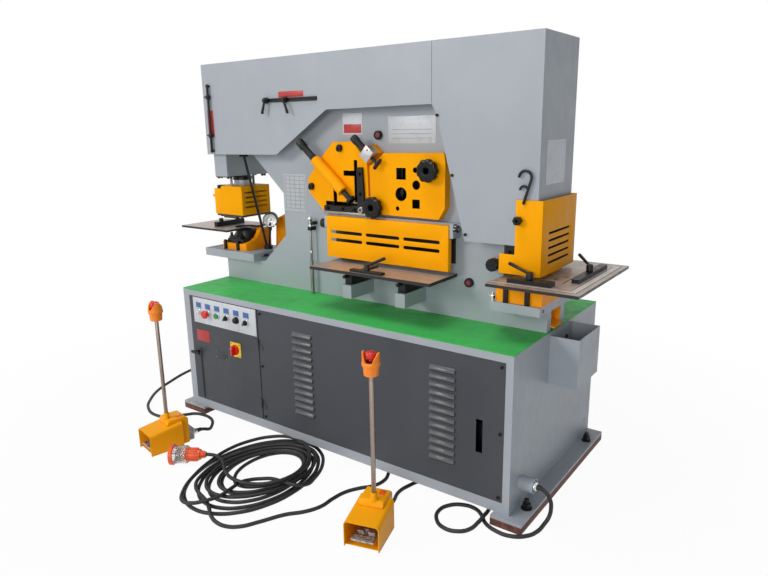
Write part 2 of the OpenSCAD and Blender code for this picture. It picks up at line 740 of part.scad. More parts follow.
module bar_guard() color(safety_yellow) difference() {
  union() {
    box(bar_x0, bar_x1, y0 - 70, y0 - 67, zt + 218, zt + 412);
    box(bar_x0, bar_x1, y0 - 67, y0 - 44, zt + 409, zt + 412);
    box(bar_x0, bar_x0 + 3, y0 - 67, y0 - 44, zt + 218, zt + 409);
    box(bar_x1 - 3, bar_x1, y0 - 67, y0 - 44, zt + 218, zt + 409);
  }
  rod_x(bar_x0 - 1, bar_x0 + 4, y0 - 58, zt + 400, 10 + 2 * run);
  rod_x(bar_x1 - 4, bar_x1 + 1, y0 - 58, zt + 400, 10 + 2 * run);
  for (i = [0 : 2]) for (z = [zt + 294, zt + 331])
    box(bar_x0 + 26 + i * 206, bar_x0 + 211 + i * 206, y0 - 71, y0 - 66, z, z + 16);
}

module bar_table() color(steel) {
  box(sx - 212, sx + 435, y0 - 225, y0, bar_table_z - 14, bar_table_z);
  for (x = [sx - 58, sx + 234]) box(x, x + 36, y0 - 155, y0, zt + 121, bar_table_z - 14);
}

module bar_gauge() color(black) {
  box(sx + 45, sx + 75, y0 - 218, y0 - 78, bar_table_z + gap, bar_table_z + 12);
  rod_z(sx + 60, y0 - 190, bar_table_z + 12, bar_table_z + 30, 26);
  bar_between([sx + 60, y0 - 190, bar_table_z + 24], [sx + 10, y0 - 185, bar_table_z + 44], 10);
}

// ---------- notcher ----------

module notch_die_set() color(orange) {
  difference() {
    union() {
      box(nx - 98, nx + 95, yc - 180, yc + 180, notch_bed_z, notch_bed_z + 62);
      box(nx - 70, nx + 70, yc - 100, yc + 100, notch_bed_z + 62, notch_table_z);
    }
    box(nx - 60, nx + 60, yc - 45, yc + 45, notch_bed_z - 1, notch_bed_z + 40);
    box(nx - notch_w / 2 - notch_gap - 9, nx + 71, yc - 40 - notch_gap, yc + 40 + notch_gap,
      notch_bed_z + 30, notch_table_z + 1);
    box(nx - 60, nx + 60, yc - 45, yc + 45, notch_bed_z + 30, notch_bed_z + 62);
  }
  // table posts
  for (x = [nx - 80, nx + 60]) for (y = [yc - 170, yc + 140])
    box(x, x + 30, y, y + 30, notch_bed_z + 62, notch_table_z - 12);
  // clamps across the front
  for (x = [nx - 60, nx + 30]) box(x, x + 16, yc - 190, yc - 180, notch_bed_z, notch_bed_z + 72);
  // scrap chute between the frame plates
  plate(y1 + 5, y2 - 5, [[nx - 75, zt + 80], [nx - 71, zt + 84], [cab_l + 8, zt + 20],
    [cab_l + 8, zt + 14], [cab_l, zt + 14]]);
  for (y = [y1, y2 - 5]) plate(y, y + 5, [[nx - 75, zt + 80], [nx - 75, zt + 94],
    [cab_l - 8, zt + 94], [cab_l - 8, zt + 10], [cab_l - 12, zt + 10]]);
}

module notch_table() color(steel) difference() {
  box(nx - 85, nx + notch_reach, yc - 300, yc + 300, notch_table_z - 12, notch_table_z);
  box(nx - 70, nx + 70, yc - 100, yc + 100, notch_table_z - 13, notch_table_z + 1);
}

ng_z0 = zt + 247;
ng_z1 = zt + 537;
ng_pts = [[nx - 90, ng_z0], [nx + 82, ng_z0], [nx + 82, ng_z1], [nx - 27, ng_z1],
  [nx - 27, zt + 325], [nx - 90, zt + 325]];

module notch_guard() color(safety_yellow) {
  difference() {
    union() {
      plate(yc - 174, yc - 170, ng_pts);
      plate(yc + 170, yc + 174, ng_pts);
      box(nx + 78, nx + 82, yc - 174, yc + 174, ng_z0, ng_z1);
      // flange to the frame plate and the bracket of its knob
      box(nx - 92, nx - 88, yc - 174, y0 - gap, ng_z0, zt + 300);
      box(nx - 170, nx - 88, y0 - 4 - gap, y0 - gap, ng_z0, ng_z0 + 40);
    }
    for (i = [0 : 4]) box(nx + 77, nx + 83, yc - 107, yc + 114, zt + 287 + i * 29, zt + 297 + i * 29);
    rod_y(nx - 143, y0 - 5, y0, zt + 264, 10 + 2 * run);
  }
  // hook that hangs the raised guard on the cover, and the front knob
  box(nx + 12, nx + 30, yc - 180, yc - 174, zt + 500, zt + 548);
  box(nx + 16, nx + 26, yc - 182, yc - 176, zt + 548, zt + 640);
  box(nx - 10, nx + 26, yc - 182, yc - 176, zt + 640, zt + 650);
  box(nx - 10, nx, yc - 182, yc - 176, zt + 622, zt + 640);
  rod_y(nx - 17, yc - 182, yc - 174, zt + 458, 18);
  lobed_knob(nx - 17, yc - 202, zt + 458, 42, 20);
}

module notch_knob() color(black) {
  lobed_knob(nx - 143, y0 - 48, zt + 264, 54, 34);
  rod_y(nx - 143, y0 - 14, y0 - 4 - 2 * gap, zt + 264, 22);
  rod_y(nx - 143, y0 - 4 - 2 * gap, y0 - 2 * gap, zt + 264, 10);
}

module fence_front() color(black) {
  box(nx - 25, nx + 150, yc - 240, yc - 195, notch_table_z + gap, notch_table_z + 16);
  rod_z(nx + 58, yc - 218, notch_table_z + 16, notch_table_z + 30, 10);
}

module fence_side() color(black) {
  box(nx + 185, nx + 215, yc - 123, yc + 209, notch_table_z + gap, notch_table_z + 16);
  rod_z(nx + 198, yc + 40, notch_table_z + 16, notch_table_z + 30, 10);
}

module clamp_lever(x, y, dx, dy) difference() {
  union() {
    rod_z(x, y, notch_table_z + 16 + gap, notch_table_z + 46, 28);
    bar_between([x, y, notch_table_z + 38], [x + dx, y + dy, notch_table_z + 64], 12);
  }
  rod_z(x, y, notch_table_z + 15, notch_table_z + 30.5, 10 + 2 * run);
}

module lever_front() color(black) clamp_lever(nx + 58, yc - 218, -100, 30);
module lever_side() color(black) clamp_lever(nx + 198, yc + 40, -72, 78);

// ---------- pedals ----------

module stop_head() {
  difference() {
    union() {
      cone_z(pole_x, pole_y, head_z, head_z + 40, 50, 60);
      rod_z(pole_x, pole_y, head_z + 40, head_z + 52, 68);
      difference() {
        rod_z(pole_x, pole_y, head_z + 52, head_z + 92, 66);
        rod_z(pole_x, pole_y, head_z + 51, head_z + 93, 54);
        box(pole_x - 22, pole_x + 22, pole_y - 40, pole_y + 40, head_z + 52, head_z + 93);
      }
    }
    rod_z(pole_x, pole_y, head_z + 25, head_z + 53, 20 + 2 * run);
  }
}

module pedal_hood() {
  w = hood_w / 2;
  box(-w, w, 12, hood_d, z_foot, z_foot + 4);
  for (s = [-1, 1]) box(s > 0 ? w - 3 : -w, s > 0 ? w : 3 - w, 0, hood_d, z_foot, hood_z);
  box(-w, w, 0, hood_d, hood_z - 3, hood_z);
  box(-w, w, hood_d - 3, hood_d, z_foot, hood_z);
  // raised block and the rear case
  box(-45, 45, 95, hood_d + 40, hood_z, block_z);
  box(-45, 45, hood_d, hood_d + 40, z_foot, hood_z);
  box(-18, 46, hood_d + 40, hood_d + 66, z_foot + 6, z_foot + 66);
  rod_y(20, hood_d + 66, hood_d + 93, gland_z, 26);
  // pole with its foot
  rod_z(pole_x, pole_y, block_z, block_z + 30, 25);
  rod_z(pole_x, pole_y, block_z + 30, head_z, 18);
  stop_head();
  // treadle pin
  rod_x(-w + 3, w - 3, 130, z_foot + 30, 8);
}

module pedal_hood_left() color(orange) at_left() pedal_hood();
module pedal_hood_right() color(orange) at_right() pedal_hood();

module treadle() difference() {
  union() {
    rod_x(-46, 46, 130, z_foot + 30, 16);
    box(-46, 46, 14, 130, z_foot + 26, z_foot + 34);
    box(-38, 38, 46, 122, z_foot + 34, z_foot + 44);
    for (i = [0 : 4]) box(-46, 46, 17 + i * 6, 20 + i * 6, z_foot + 34, z_foot + 36);
  }
  rod_x(-47, 47, 130, z_foot + 30, 8 + 2 * run);
  box(-8, 8, 40, 62, z_foot + 34, z_foot + 45);
}

module pedal_left() color(steel) at_left() treadle();
module pedal_right() color(steel) at_right() treadle();

module estop() {
  rod_z(pole_x, pole_y, head_z + 35, head_z + 66, 20);
  rod_z(pole_x, pole_y, head_z + 66, head_z + 84, 42);
  cone_z(pole_x, pole_y, head_z + 84, head_z + 90, 42, 30);
}

module estop_left() color(red) at_left() estop();
module estop_right() color(red) at_right() estop();

// ---------- cords ----------

power_x = sx + 100;
power_y = 330;
zc = z_foot + cord_d / 2;
coil_c = [826, -312];
coil_a = 260;
coil_b = 362;
coil_hole_a = 108;
coil_hole_b = 152;
plug_turn = 34.4;
plug_l = 165;
plug_p = [410, -448, z_foot + 47.5];

function left_exit(l) = turn_pt([left_x, left_y], left_turn, [20, hood_d + 93 + l, gland_z]);
function right_exit(l) = turn_pt([right_x, right_y], right_turn, [20, hood_d + 93 + l, gland_z]);

left_path = concat([left_exit(0), left_exit(14), left_exit(34) + [0, 0, -4]], [
  [290, -134, zc + 6], [262, -94, zc], [221, -56, zc], [171, -36, zc], [118, -34, zc],
  [70, -48, zc], [34, -89, zc], [-17, -155, zc], [-93, -182, zc], [-213, -148, zc],
  [-309, -65, zc], [-393, 54, zc], [-426, 150, zc + 4], [-405, 240, zc + 34],
  [-330, 280, stub_z - 60], [-240, 240, stub_z - 20], [-160, 165, stub_z - 3],
  [-115, stub_y + 14, stub_z], [-stub_l - 20, stub_y, stub_z], [-stub_l - 5, stub_y, stub_z]]);

right_path = concat([[cab_l + stub_l + 5, stub_y, stub_z], [cab_l + 80, stub_y, stub_z],
  [cab_l + 104, stub_y + 1, stub_z - 10], [cab_l + 122, stub_y + 3, stub_z - 36],
  [cab_l + 128, stub_y + 2, stub_z - 72], [cab_l + 125, stub_y - 8, stub_z - 106],
  [cab_l + 116, stub_y - 34, zc + 6], [cab_l + 110, 22, zc], [cab_l + 90, -26, zc],
  [cab_l + 38, -64, zc], [cab_l - 22, -66, zc], [cab_l - 76, -44, zc], [cab_l - 112, -6, zc],
  [cab_l - 156, 20, zc], [cab_l - 212, 14, zc], [cab_l - 253, -20, zc], [cab_l - 268, -72, zc],
  [cab_l - 243, -132, zc], [cab_l - 192, -162, zc], [cab_l - 140, -152, zc],
  [cab_l - 106, -116, zc + 2], [cab_l - 93, -66, zc + 12], [cab_l - 92, -28, zc + cord_d + 1],
  [cab_l - 98, 24, zc + 12], [cab_l - 122, 76, zc + 2], [cab_l - 180, 122, zc],
  [cab_l - 270, 138, zc], [cab_l - 370, 120, zc], [cab_l - 445, 75, zc], [cab_l - 470, 10, zc],
  [cab_l - 474, -55, zc + 4]],
  [right_exit(34) + [0, 0, -4], right_exit(14), right_exit(0)]);

// point beside the coil's outer face, at the given angle
function beside_coil(a) = let (n = [cos(a) / coil_a, sin(a) / coil_b])
  [coil_c[0] + coil_a * cos(a), coil_c[1] + coil_b * sin(a), zc]
  + (cord_d / 2 + gap) / norm(n) * [n[0], n[1], 0];

power_path = concat([beside_coil(-68), beside_coil(-61)], [
  [1012, -634, zc], [1055, -606, zc], [1095, -539, zc],
  [1143, -448, zc], [1194, -387, zc], [1223, -322, zc], [1226, -252, zc], [1238, -182, zc],
  [1269, -125, zc], [1305, -78, zc], [1318, -18, zc], [1302, 36, zc], [1262, 90, zc],
  [power_x + 62, 170, zc], [power_x + 30, 240, zc], [power_x + 10, 290, zc],
  [power_x + 3, power_y - 18, zc + 4], [power_x, power_y - 5, zc + 13],
  [power_x, power_y, -14], [power_x, power_y, -8]]);

function plug_pt(l) = plug_p + l * [cos(plug_turn), sin(plug_turn), 0];
tail_path = [plug_pt(plug_l), plug_pt(plug_l + 12), plug_pt(plug_l + 30) + [0, 0, -1],
  [612, -318, z_foot + 2.5 * cord_d + gap], [640, -306, z_foot + 2.5 * cord_d + gap]];

module power_cord() color(black) {
  tube(power_path, cord_d);
  tube(tail_path, cord_d);
}

module power_coil() color(black) translate([coil_c[0], coil_c[1], z_foot])
  linear_extrude(height = 2 * cord_d) difference() {
    polygon([for (a = [0 : 5 : 359]) [coil_a * cos(a), coil_b * sin(a)]]);
    polygon([for (a = [0 : 10 : 359]) [coil_hole_a * cos(a), coil_hole_b * sin(a)]]);
  }

module pedal_cord_left() color(black) tube(left_path, cord_d);
module pedal_cord_right() color(black) tube(right_path, cord_d);

module power_plug() color(orange) translate(plug_p) rotate([0, 0, plug_turn]) {
  difference() {
    union() {
      rod_x(0, 18, 0, 0, 95);
      rod_x(18, 62, 0, 0, 86);
      translate([62, 0, 0]) rotate([0, 90, 0]) cylinder(h = 78, d1 = 72, d2 = 56);
      rod_x(140, plug_l, 0, 0, 36);
    }
    rod_x(-1, 45, 0, 0, 76);
  }
  for (a = [0 : 72 : 359]) rod_x(12, 46, 24 * cos(a), 24 * sin(a), 8);
}

// ---------- hydraulic and electrical units inside the cabinet ----------

module power_unit() color([0.25, 0.35, 0.5]) {
  difference() {
    box(cab_l - 700, cab_l - 150, 180, cab_d - 180, wall, 260);
    box(cab_l - 695, cab_l - 155, 185, cab_d - 185, wall + 5, 255);
  }
  box(cab_l - 640, cab_l - 560, 260, 420, 260, 330);
  box(cab_l - 330, cab_l - 250, 260, 420, 260, 330);
  rod_x(cab_l - 660, cab_l - 300, 340, cab_h - 220, 200);
  rod_x(cab_l - 300, cab_l - 220, 340, cab_h - 220, 110);
  box(cab_l - 640, cab_l - 560, 300, 380, 330, cab_h - 300);
  box(cab_l - 380, cab_l - 320, 300, 380, 330, cab_h - 300);
  box(cab_l - 380, cab_l - 330, 300, 380, 260, 331);
  box(cab_l - 600, cab_l - 420, cab_d - 340, cab_d - 240, 260, 340);
  // mounting plate of the switchgear with contactors and terminal rails
  box(70, door_x1 - 30, 320, 324, wall, front_z1 - 20);
  for (i = [0 : 3]) box(100 + i * 95, 170 + i * 95, 250, 320, front_z1 - 190, front_z1 - 80);
  box(100, door_x1 - 70, 290, 320, front_z0 + 110, front_z0 + 150);
}

// ---------- fittings on the front ----------

conduit_x = 672;

module front_fittings() color([0.8, 0.8, 0.8]) {
  // blank plates on the frame
  box(480, 627, y0 - 1, y0, zt + 408, zt + 593);
  box(sx - 175, sx - 62, y0 - 1, y0, zt + 782, zt + 876);
  box(sx + 81, sx + 325, y0 - 1, y0, zt + 742, zt + 857);
  // plugs in the frame plate
  rod_y(sx + 30, y0 - 4, y0, zt + 778, 26);
  rod_y(sx + 495, y0 - 4, y0, zt + 168, 26);
  // stroke rod with two stops on the arm cover
  rod_z(52, cover_y0 - 12, zt + 696, zt + 1039, 16);
  for (z = [zt + 700, zt + 1025]) box(46, 58, cover_y0 - 17, cover_y0, z, z + 10);
  for (z = [zt + 783, zt + 975]) rod_z(52, cover_y0 - 12, z - 9, z + 9, 22);
  box(30, 74, cover_y0 - 1, cover_y0, zt + 773, zt + 905);
  // slotted bar the stroke levers slide on
  difference() {
    box(452, 792, cover_y0 - 8, cover_y0, zt + 935, zt + 953);
    box(462, 782, cover_y0 - 9, cover_y0 - 3, zt + 941, zt + 947);
  }
  box(550, 709, cover_y0 - 1, cover_y0, zt + 955, zt + 982);
  // lubrication conduit beside the flat-bar table
  rod_z(conduit_x, y0 - 30, zd, zd + 170, 20);
  rod_z(conduit_x, y0 - 30, zd + 170, zt + 376, 12);
  translate([conduit_x, y0 - 30, zt + 382]) sphere(d = 24);
  box(conduit_x - 6, conduit_x + 6, y0 - 30, y0, zt + 330, zt + 342);
}

module stroke_lever(x, dx) {
  box(x - 12, x + 12, cover_y0 - 18, cover_y0 - 8 - gap, zt + 930, zt + 958);
  // lug that runs in the bar's groove
  box(x - 8, x + 8, cover_y0 - 8 - gap, cover_y0 - 3 - gap, zt + 941 + gap, zt + 947 - gap);
  bar_between([x, cover_y0 - 22, zt + 944], [x + dx, cover_y0 - 26, zt + 884], 10);
  rod_y(x, cover_y0 - 30, cover_y0 - 18, zt + 944, 20);
}

module stroke_lever_a() color(black) stroke_lever(476, -16);
module stroke_lever_b() color(black) stroke_lever(600, 30);

placed() {
  cabinet_shell();
  skid_strips();
  fasteners();
  top_mat();
  access_panel();
  scrap_bin();
  electrical_door();
  control_plate();
  door_latch();
  stop_button();
  start_button();
  selector_left();
  selector_mid();
  selector_right();
  main_switch();
  main_frame();
  arm_cover();
  right_cover();
  cylinder_bodies();
  punch_ram();
  punch_die_set();
  punch_table();
  punch_fence();
  punch_guard();
  lamp_arm();
  lamp_head();
  shear_rod();
  shear_beam();
  shear_plates();
  angle_holder();
  angle_screw();
  bar_screw();
  knob_upper();
  knob_lower();
  bar_guard();
  bar_table();
  bar_gauge();
  notch_table();
  notch_die_set();
  notch_guard();
  notch_knob();
  fence_front();
  fence_side();
  lever_front();
  lever_side();
  pedal_hood_left();
  pedal_hood_right();
  pedal_left();
  pedal_right();
  estop_left();
  estop_right();
  power_cord();
  power_coil();
  pedal_cord_left();
  pedal_cord_right();
  power_plug();
  power_unit();
  front_fittings();
  stroke_lever_a();
  stroke_lever_b();
}
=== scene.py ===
"""Looks of a dual-cylinder hydraulic ironworker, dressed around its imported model.

Inside the classes every length is in millimetres of the machine: X runs right along the front
from the cabinet's left end, Y runs back from the cabinet's front, and Z runs up from the foot
plates. Site turns them into the row's metres.
"""

import logging
import math
from dataclasses import dataclass
from enum import Enum
from typing import Iterable, Sequence

import bmesh
import bpy
from mathutils import Matrix, Vector


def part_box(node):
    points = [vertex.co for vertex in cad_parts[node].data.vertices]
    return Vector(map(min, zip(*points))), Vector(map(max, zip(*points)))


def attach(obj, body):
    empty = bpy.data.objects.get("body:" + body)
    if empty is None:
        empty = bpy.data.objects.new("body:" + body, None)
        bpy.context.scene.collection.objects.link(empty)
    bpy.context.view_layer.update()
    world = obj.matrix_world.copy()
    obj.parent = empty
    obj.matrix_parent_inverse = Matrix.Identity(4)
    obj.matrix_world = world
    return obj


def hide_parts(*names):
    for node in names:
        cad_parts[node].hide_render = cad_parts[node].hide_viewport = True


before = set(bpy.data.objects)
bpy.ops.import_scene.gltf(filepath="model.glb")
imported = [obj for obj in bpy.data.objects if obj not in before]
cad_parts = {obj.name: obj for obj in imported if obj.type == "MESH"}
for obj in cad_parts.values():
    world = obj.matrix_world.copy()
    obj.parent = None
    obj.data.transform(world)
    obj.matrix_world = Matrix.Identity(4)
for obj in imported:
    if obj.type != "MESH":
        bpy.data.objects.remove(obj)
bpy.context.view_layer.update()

LOG = logging.getLogger("ironworker")
Point = Sequence[float]
Span = tuple[float, float]

MM = 1000.0  # millimetres in a metre
ORIGIN = (0.0, 0.0, 0.0)
UP = (0.0, 0.0, 1.0)


# ---------- where things are ----------


@dataclass(frozen=True)
class Machine:
    """Sizes and places shared by several sub-assemblies, in machine millimetres.

    Attributes:
        length: Length of the cabinet along the front.
        mat_top: Height of the mat on the cabinet.
        floor: Height of the floor under the foot plates.
        centre_y: Depth of the plane midway between the frame plates.
        plate_y0: Depth of the front frame plate's face.
        cover_y0: Depth of the covers' front.
        skid_corner: Lowest corner of the skid boards, at the left and in front.
        punch_x: Where the punch stands.
        shear_x: Where the section shear stands.
        bar_table: Height of the flat-bar table.
    """

    length: float = 1900.0
    mat_top: float = 655.0
    floor: float = -42.0
    centre_y: float = 400.0
    plate_y0: float = 310.0
    cover_y0: float = 232.0
    skid_corner: tuple[float, float, float] = (-65.0, -30.0, -42.0)
    punch_x: float = 70.0
    shear_x: float = 1050.0
    bar_table: float = 850.0


MACHINE = Machine()


@dataclass(frozen=True)
class Site:
    """Turns machine millimetres into the row's metres.

    Attributes:
        zero: The machine's own origin, in the row's metres.
    """

    zero: Vector

    @classmethod
    def of_frame(cls) -> "Site":
        """Finds the machine's origin from the skid boards' lowest corner.

        Returns:
            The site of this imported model.
        """
        low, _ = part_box("skid_strips")
        return cls(low - Vector(MACHINE.skid_corner) / MM)

    def at(self, point: Point) -> Vector:
        """Returns a machine point in the row's metres."""
        return self.zero + Vector(point) / MM

    def matrix(self) -> Matrix:
        """Returns the transform from machine millimetres to the row's metres."""
        return Matrix.Translation(self.zero) @ Matrix.Scale(1.0 / MM, 4)


SITE = Site.of_frame()


class Axis(Enum):
    """Directions a turned shape can be built along."""

    X = (1.0, 0.0, 0.0)
    Y = (0.0, 1.0, 0.0)
    Z = (0.0, 0.0, 1.0)
    BACK_X = (-1.0, 0.0, 0.0)
    BACK_Y = (0.0, -1.0, 0.0)
    DOWN = (0.0, 0.0, -1.0)


def pointed(way: Point) -> Matrix:
    """Returns the turn that takes Z to some direction."""
    return Vector(way).to_track_quat("Z", "Y").to_matrix().to_4x4()


def oblong(u: Span, v: Span) -> list[Span]:
    """Returns the corners of a rectangle, from its lowest one and round by way of u."""
    return [(u[0], v[0]), (u[1], v[0]), (u[1], v[1]), (u[0], v[1])]


def placed(name: str, data: bpy.types.ID) -> bpy.types.Object:
    """Returns a new object that holds some data, linked to the scene."""
    made = bpy.data.objects.new(name, data)
    bpy.context.scene.collection.objects.link(made)
    return made


def turn_about_z(centre: Point, degrees: float) -> Matrix:
    """Returns a frame at a point, turned about the vertical.

    Args:
        centre: Where the frame's origin is.
        degrees: How far it is turned, counter-clockwise from above.

    Returns:
        The transform from that frame to machine millimetres.
    """
    spin = Matrix.Rotation(math.radians(degrees), 4, "Z")
    return Matrix.Translation(Vector(centre)) @ spin


# ---------- finishes ----------


def linear(colour: str) -> tuple[float, float, float, float]:
    """Turns a written colour into the linear one that shaders use.

    Args:
        colour: Red, green and blue as six hexadecimal digits.

    Returns:
        Linear red, green, blue and an alpha of one.
    """
    parts = [int(colour[i : i + 2], 16) / 255.0 for i in (0, 2, 4)]
    r, g, b = (c / 12.92 if c <= 0.04045 else ((c + 0.055) / 1.055) ** 2.4 for c in parts)
    return (r, g, b, 1.0)


def toned(colour: Sequence[float], factor: float, lift: float = 0.0) -> tuple[float, ...]:
    """Returns a darker or lighter copy of a linear colour.

    Args:
        colour: The colour.
        factor: What its parts are multiplied by.
        lift: What is then added to them.

    Returns:
        The new colour with an alpha of one.
    """
    return tuple(min(1.0, c * factor + lift) for c in colour[:3]) + (1.0,)


BANDS = 314.16  # scale at which Blender's band texture repeats every millimetre


class Graph:
    """Shader nodes of one material, with the few moves that the finishes share."""

    def __init__(self, name: str) -> None:
        """Starts a material with its Principled shader.

        Args:
            name: The material's name.
        """
        self.material = bpy.data.materials.new(name)
        self.material.use_nodes = True
        self.tree = self.material.node_tree
        self.shader = self.tree.nodes["Principled BSDF"]
        self.place = self.add("ShaderNodeTexCoord").outputs["Object"]

    def add(self, kind: str, **settings: object) -> bpy.types.Node:
        """Adds a node and sets its plain properties.

        Args:
            kind: The node's Blender type.
            **settings: Properties to set on it.

        Returns:
            The new node.
        """
        node = self.tree.nodes.new(kind)
        for key, value in settings.items():
            setattr(node, key, value)
        return node

    def feed(self, socket: bpy.types.NodeSocket, value: object) -> None:
        """Links a socket to another socket, or sets its constant.

        Args:
            socket: The input to fill.
            value: An output socket, a number or a colour.
        """
        if isinstance(value, bpy.types.NodeSocket):
            self.tree.links.new(value, socket)
        else:
            socket.default_value = value

    def stretched(self, scale: Point, turn: Point = (0.0, 0.0, 0.0)) -> bpy.types.NodeSocket:
        """Returns the object's own coordinates, scaled and turned.

        Args:
            scale: Factors along X, Y and Z.
            turn: Rotation about X, Y and Z in radians.

        Returns:
            The mapped coordinates.
        """
        node = self.add("ShaderNodeMapping")
        self.feed(node.inputs["Vector"], self.place)
        node.inputs["Scale"].default_value = scale
        node.inputs["Rotation"].default_value = turn
        return node.outputs["Vector"]

    def noise(
        self, scale: float, detail: float = 3.0, stretch: Point | None = None, twist: float = 0.0
    ) -> bpy.types.NodeSocket:
        """Returns a cloud pattern.

        Args:
            scale: Cells for each metre.
            detail: Octaves of finer cells.
            stretch: Factors along X, Y and Z, if the cells aren't round.
            twist: Distortion of the cells.

        Returns:
            A value from 0 to 1.
        """
        node = self.add("ShaderNodeTexNoise")
        self.feed(node.inputs["Vector"], self.stretched(stretch) if stretch else self.place)
        node.inputs["Scale"].default_value = scale
        node.inputs["Detail"].default_value = detail
        node.inputs["Distortion"].default_value = twist
        return node.outputs["Fac"]

    def cells(self, scale: float) -> bpy.types.NodeSocket:
        """Returns distances to scattered points, for grains and pits."""
        node = self.add("ShaderNodeTexVoronoi")
        self.feed(node.inputs["Vector"], self.place)
        node.inputs["Scale"].default_value = scale
        return node.outputs["Distance"]

    def ribs(self, pitch_mm: float, turn: Point) -> bpy.types.NodeSocket:
        """Returns parallel ribs across the object's X axis, turned.

        Args:
            pitch_mm: Distance from rib to rib.
            turn: Rotation of the ribs in radians.

        Returns:
            A value from 0 to 1.
        """
        node = self.add("ShaderNodeTexWave", wave_type="BANDS", bands_direction="X")
        self.feed(node.inputs["Vector"], self.stretched((1.0, 1.0, 1.0), turn))
        node.inputs["Scale"].default_value = BANDS / pitch_mm
        return node.outputs["Fac"]

    def between(
        self, value: bpy.types.NodeSocket, low: float, high: float, to: Span = (0.0, 1.0)
    ) -> bpy.types.NodeSocket:
        """Returns a value spread from one range onto another, and held at its ends.

        Args:
            value: What is spread.
            low: Where it starts.
            high: Where it ends.
            to: The range it is spread onto.

        Returns:
            The spread value.
        """
        node = self.add("ShaderNodeMapRange", interpolation_type="SMOOTHSTEP")
        self.feed(node.inputs["Value"], value)
        for name, number in zip(("From Min", "From Max", "To Min", "To Max"), (low, high, *to)):
            node.inputs[name].default_value = number
        return node.outputs["Result"]

    def maths(self, operation: str, a: object, b: object = 0.0) -> bpy.types.NodeSocket:
        """Returns the result of one sum on two values."""
        node = self.add("ShaderNodeMath", operation=operation)
        self.feed(node.inputs[0], a)
        self.feed(node.inputs[1], b)
        return node.outputs["Value"]

    def blend(self, share: object, a: object, b: object) -> bpy.types.NodeSocket:
        """Returns a colour between two colours.

        Args:
            share: How much of the second, as a number or a socket.
            a: The first colour.
            b: The second colour.

        Returns:
            The blended colour.
        """
        node = self.add("ShaderNodeMix", data_type="RGBA")
        self.feed(node.inputs["Factor"], share)
        inputs = [s for s in node.inputs if s.type == "RGBA"]
        self.feed(inputs[0], a)
        self.feed(inputs[1], b)
        return next(s for s in node.outputs if s.type == "RGBA")

    def facing(self, axis: str) -> bpy.types.NodeSocket:
        """Returns how far a surface faces along X, Y or Z, from -1 to 1."""
        node = self.add("ShaderNodeSeparateXYZ")
        self.feed(node.inputs["Vector"], self.add("ShaderNodeNewGeometry").outputs["Normal"])
        return node.outputs[axis]

    def height(self) -> bpy.types.NodeSocket:
        """Returns the point's height above the floor in metres."""
        node = self.add("ShaderNodeSeparateXYZ")
        self.feed(node.inputs["Vector"], self.place)
        return node.outputs["Z"]

    def relief(self, value: bpy.types.NodeSocket, strength: float, depth_mm: float) -> None:
        """Adds a bump on top of the relief that is already there.

        Args:
            value: The height pattern.
            strength: How strongly it shows.
            depth_mm: How deep it is.
        """
        node = self.add("ShaderNodeBump")
        node.inputs["Strength"].default_value = strength
        node.inputs["Distance"].default_value = depth_mm / MM
        self.feed(node.inputs["Height"], value)
        normal = self.shader.inputs["Normal"]
        if normal.is_linked:
            self.tree.links.new(normal.links[0].from_socket, node.inputs["Normal"])
        self.tree.links.new(node.outputs["Normal"], normal)

    def edges(self, radius_mm: float) -> bpy.types.NodeSocket:
        """Returns where a surface lies close to an edge, from 0 to 1."""
        bevel = self.add("ShaderNodeBevel", samples=4)
        bevel.inputs["Radius"].default_value = radius_mm / MM
        dot = self.add("ShaderNodeVectorMath", operation="DOT_PRODUCT")
        self.feed(dot.inputs[0], bevel.outputs["Normal"])
        self.feed(dot.inputs[1], self.add("ShaderNodeNewGeometry").outputs["Normal"])
        return self.between(dot.outputs["Value"], 0.995, 0.85)

    def set(self, **values: object) -> None:
        """Sets or links the shader's sockets.

        Args:
            **values: Socket names with underscores for spaces, and their values.
        """
        for key, value in values.items():
            self.feed(self.shader.inputs[key.replace("_", " ")], value)


@dataclass(frozen=True)
class Finish:
    """A finish with a name and a way to build its material.

    Attributes:
        name: The material's name.
    """

    name: str

    def build(self, graph: Graph) -> None:
        """Wires the material. Each kind of finish has its own way."""
        raise NotImplementedError

    def material(self) -> bpy.types.Material:
        """Returns the finish's material, built once."""
        found = bpy.data.materials.get(self.name)
        if found is None:
            graph = Graph(self.name)
            self.build(graph)
            found = graph.material
        return found


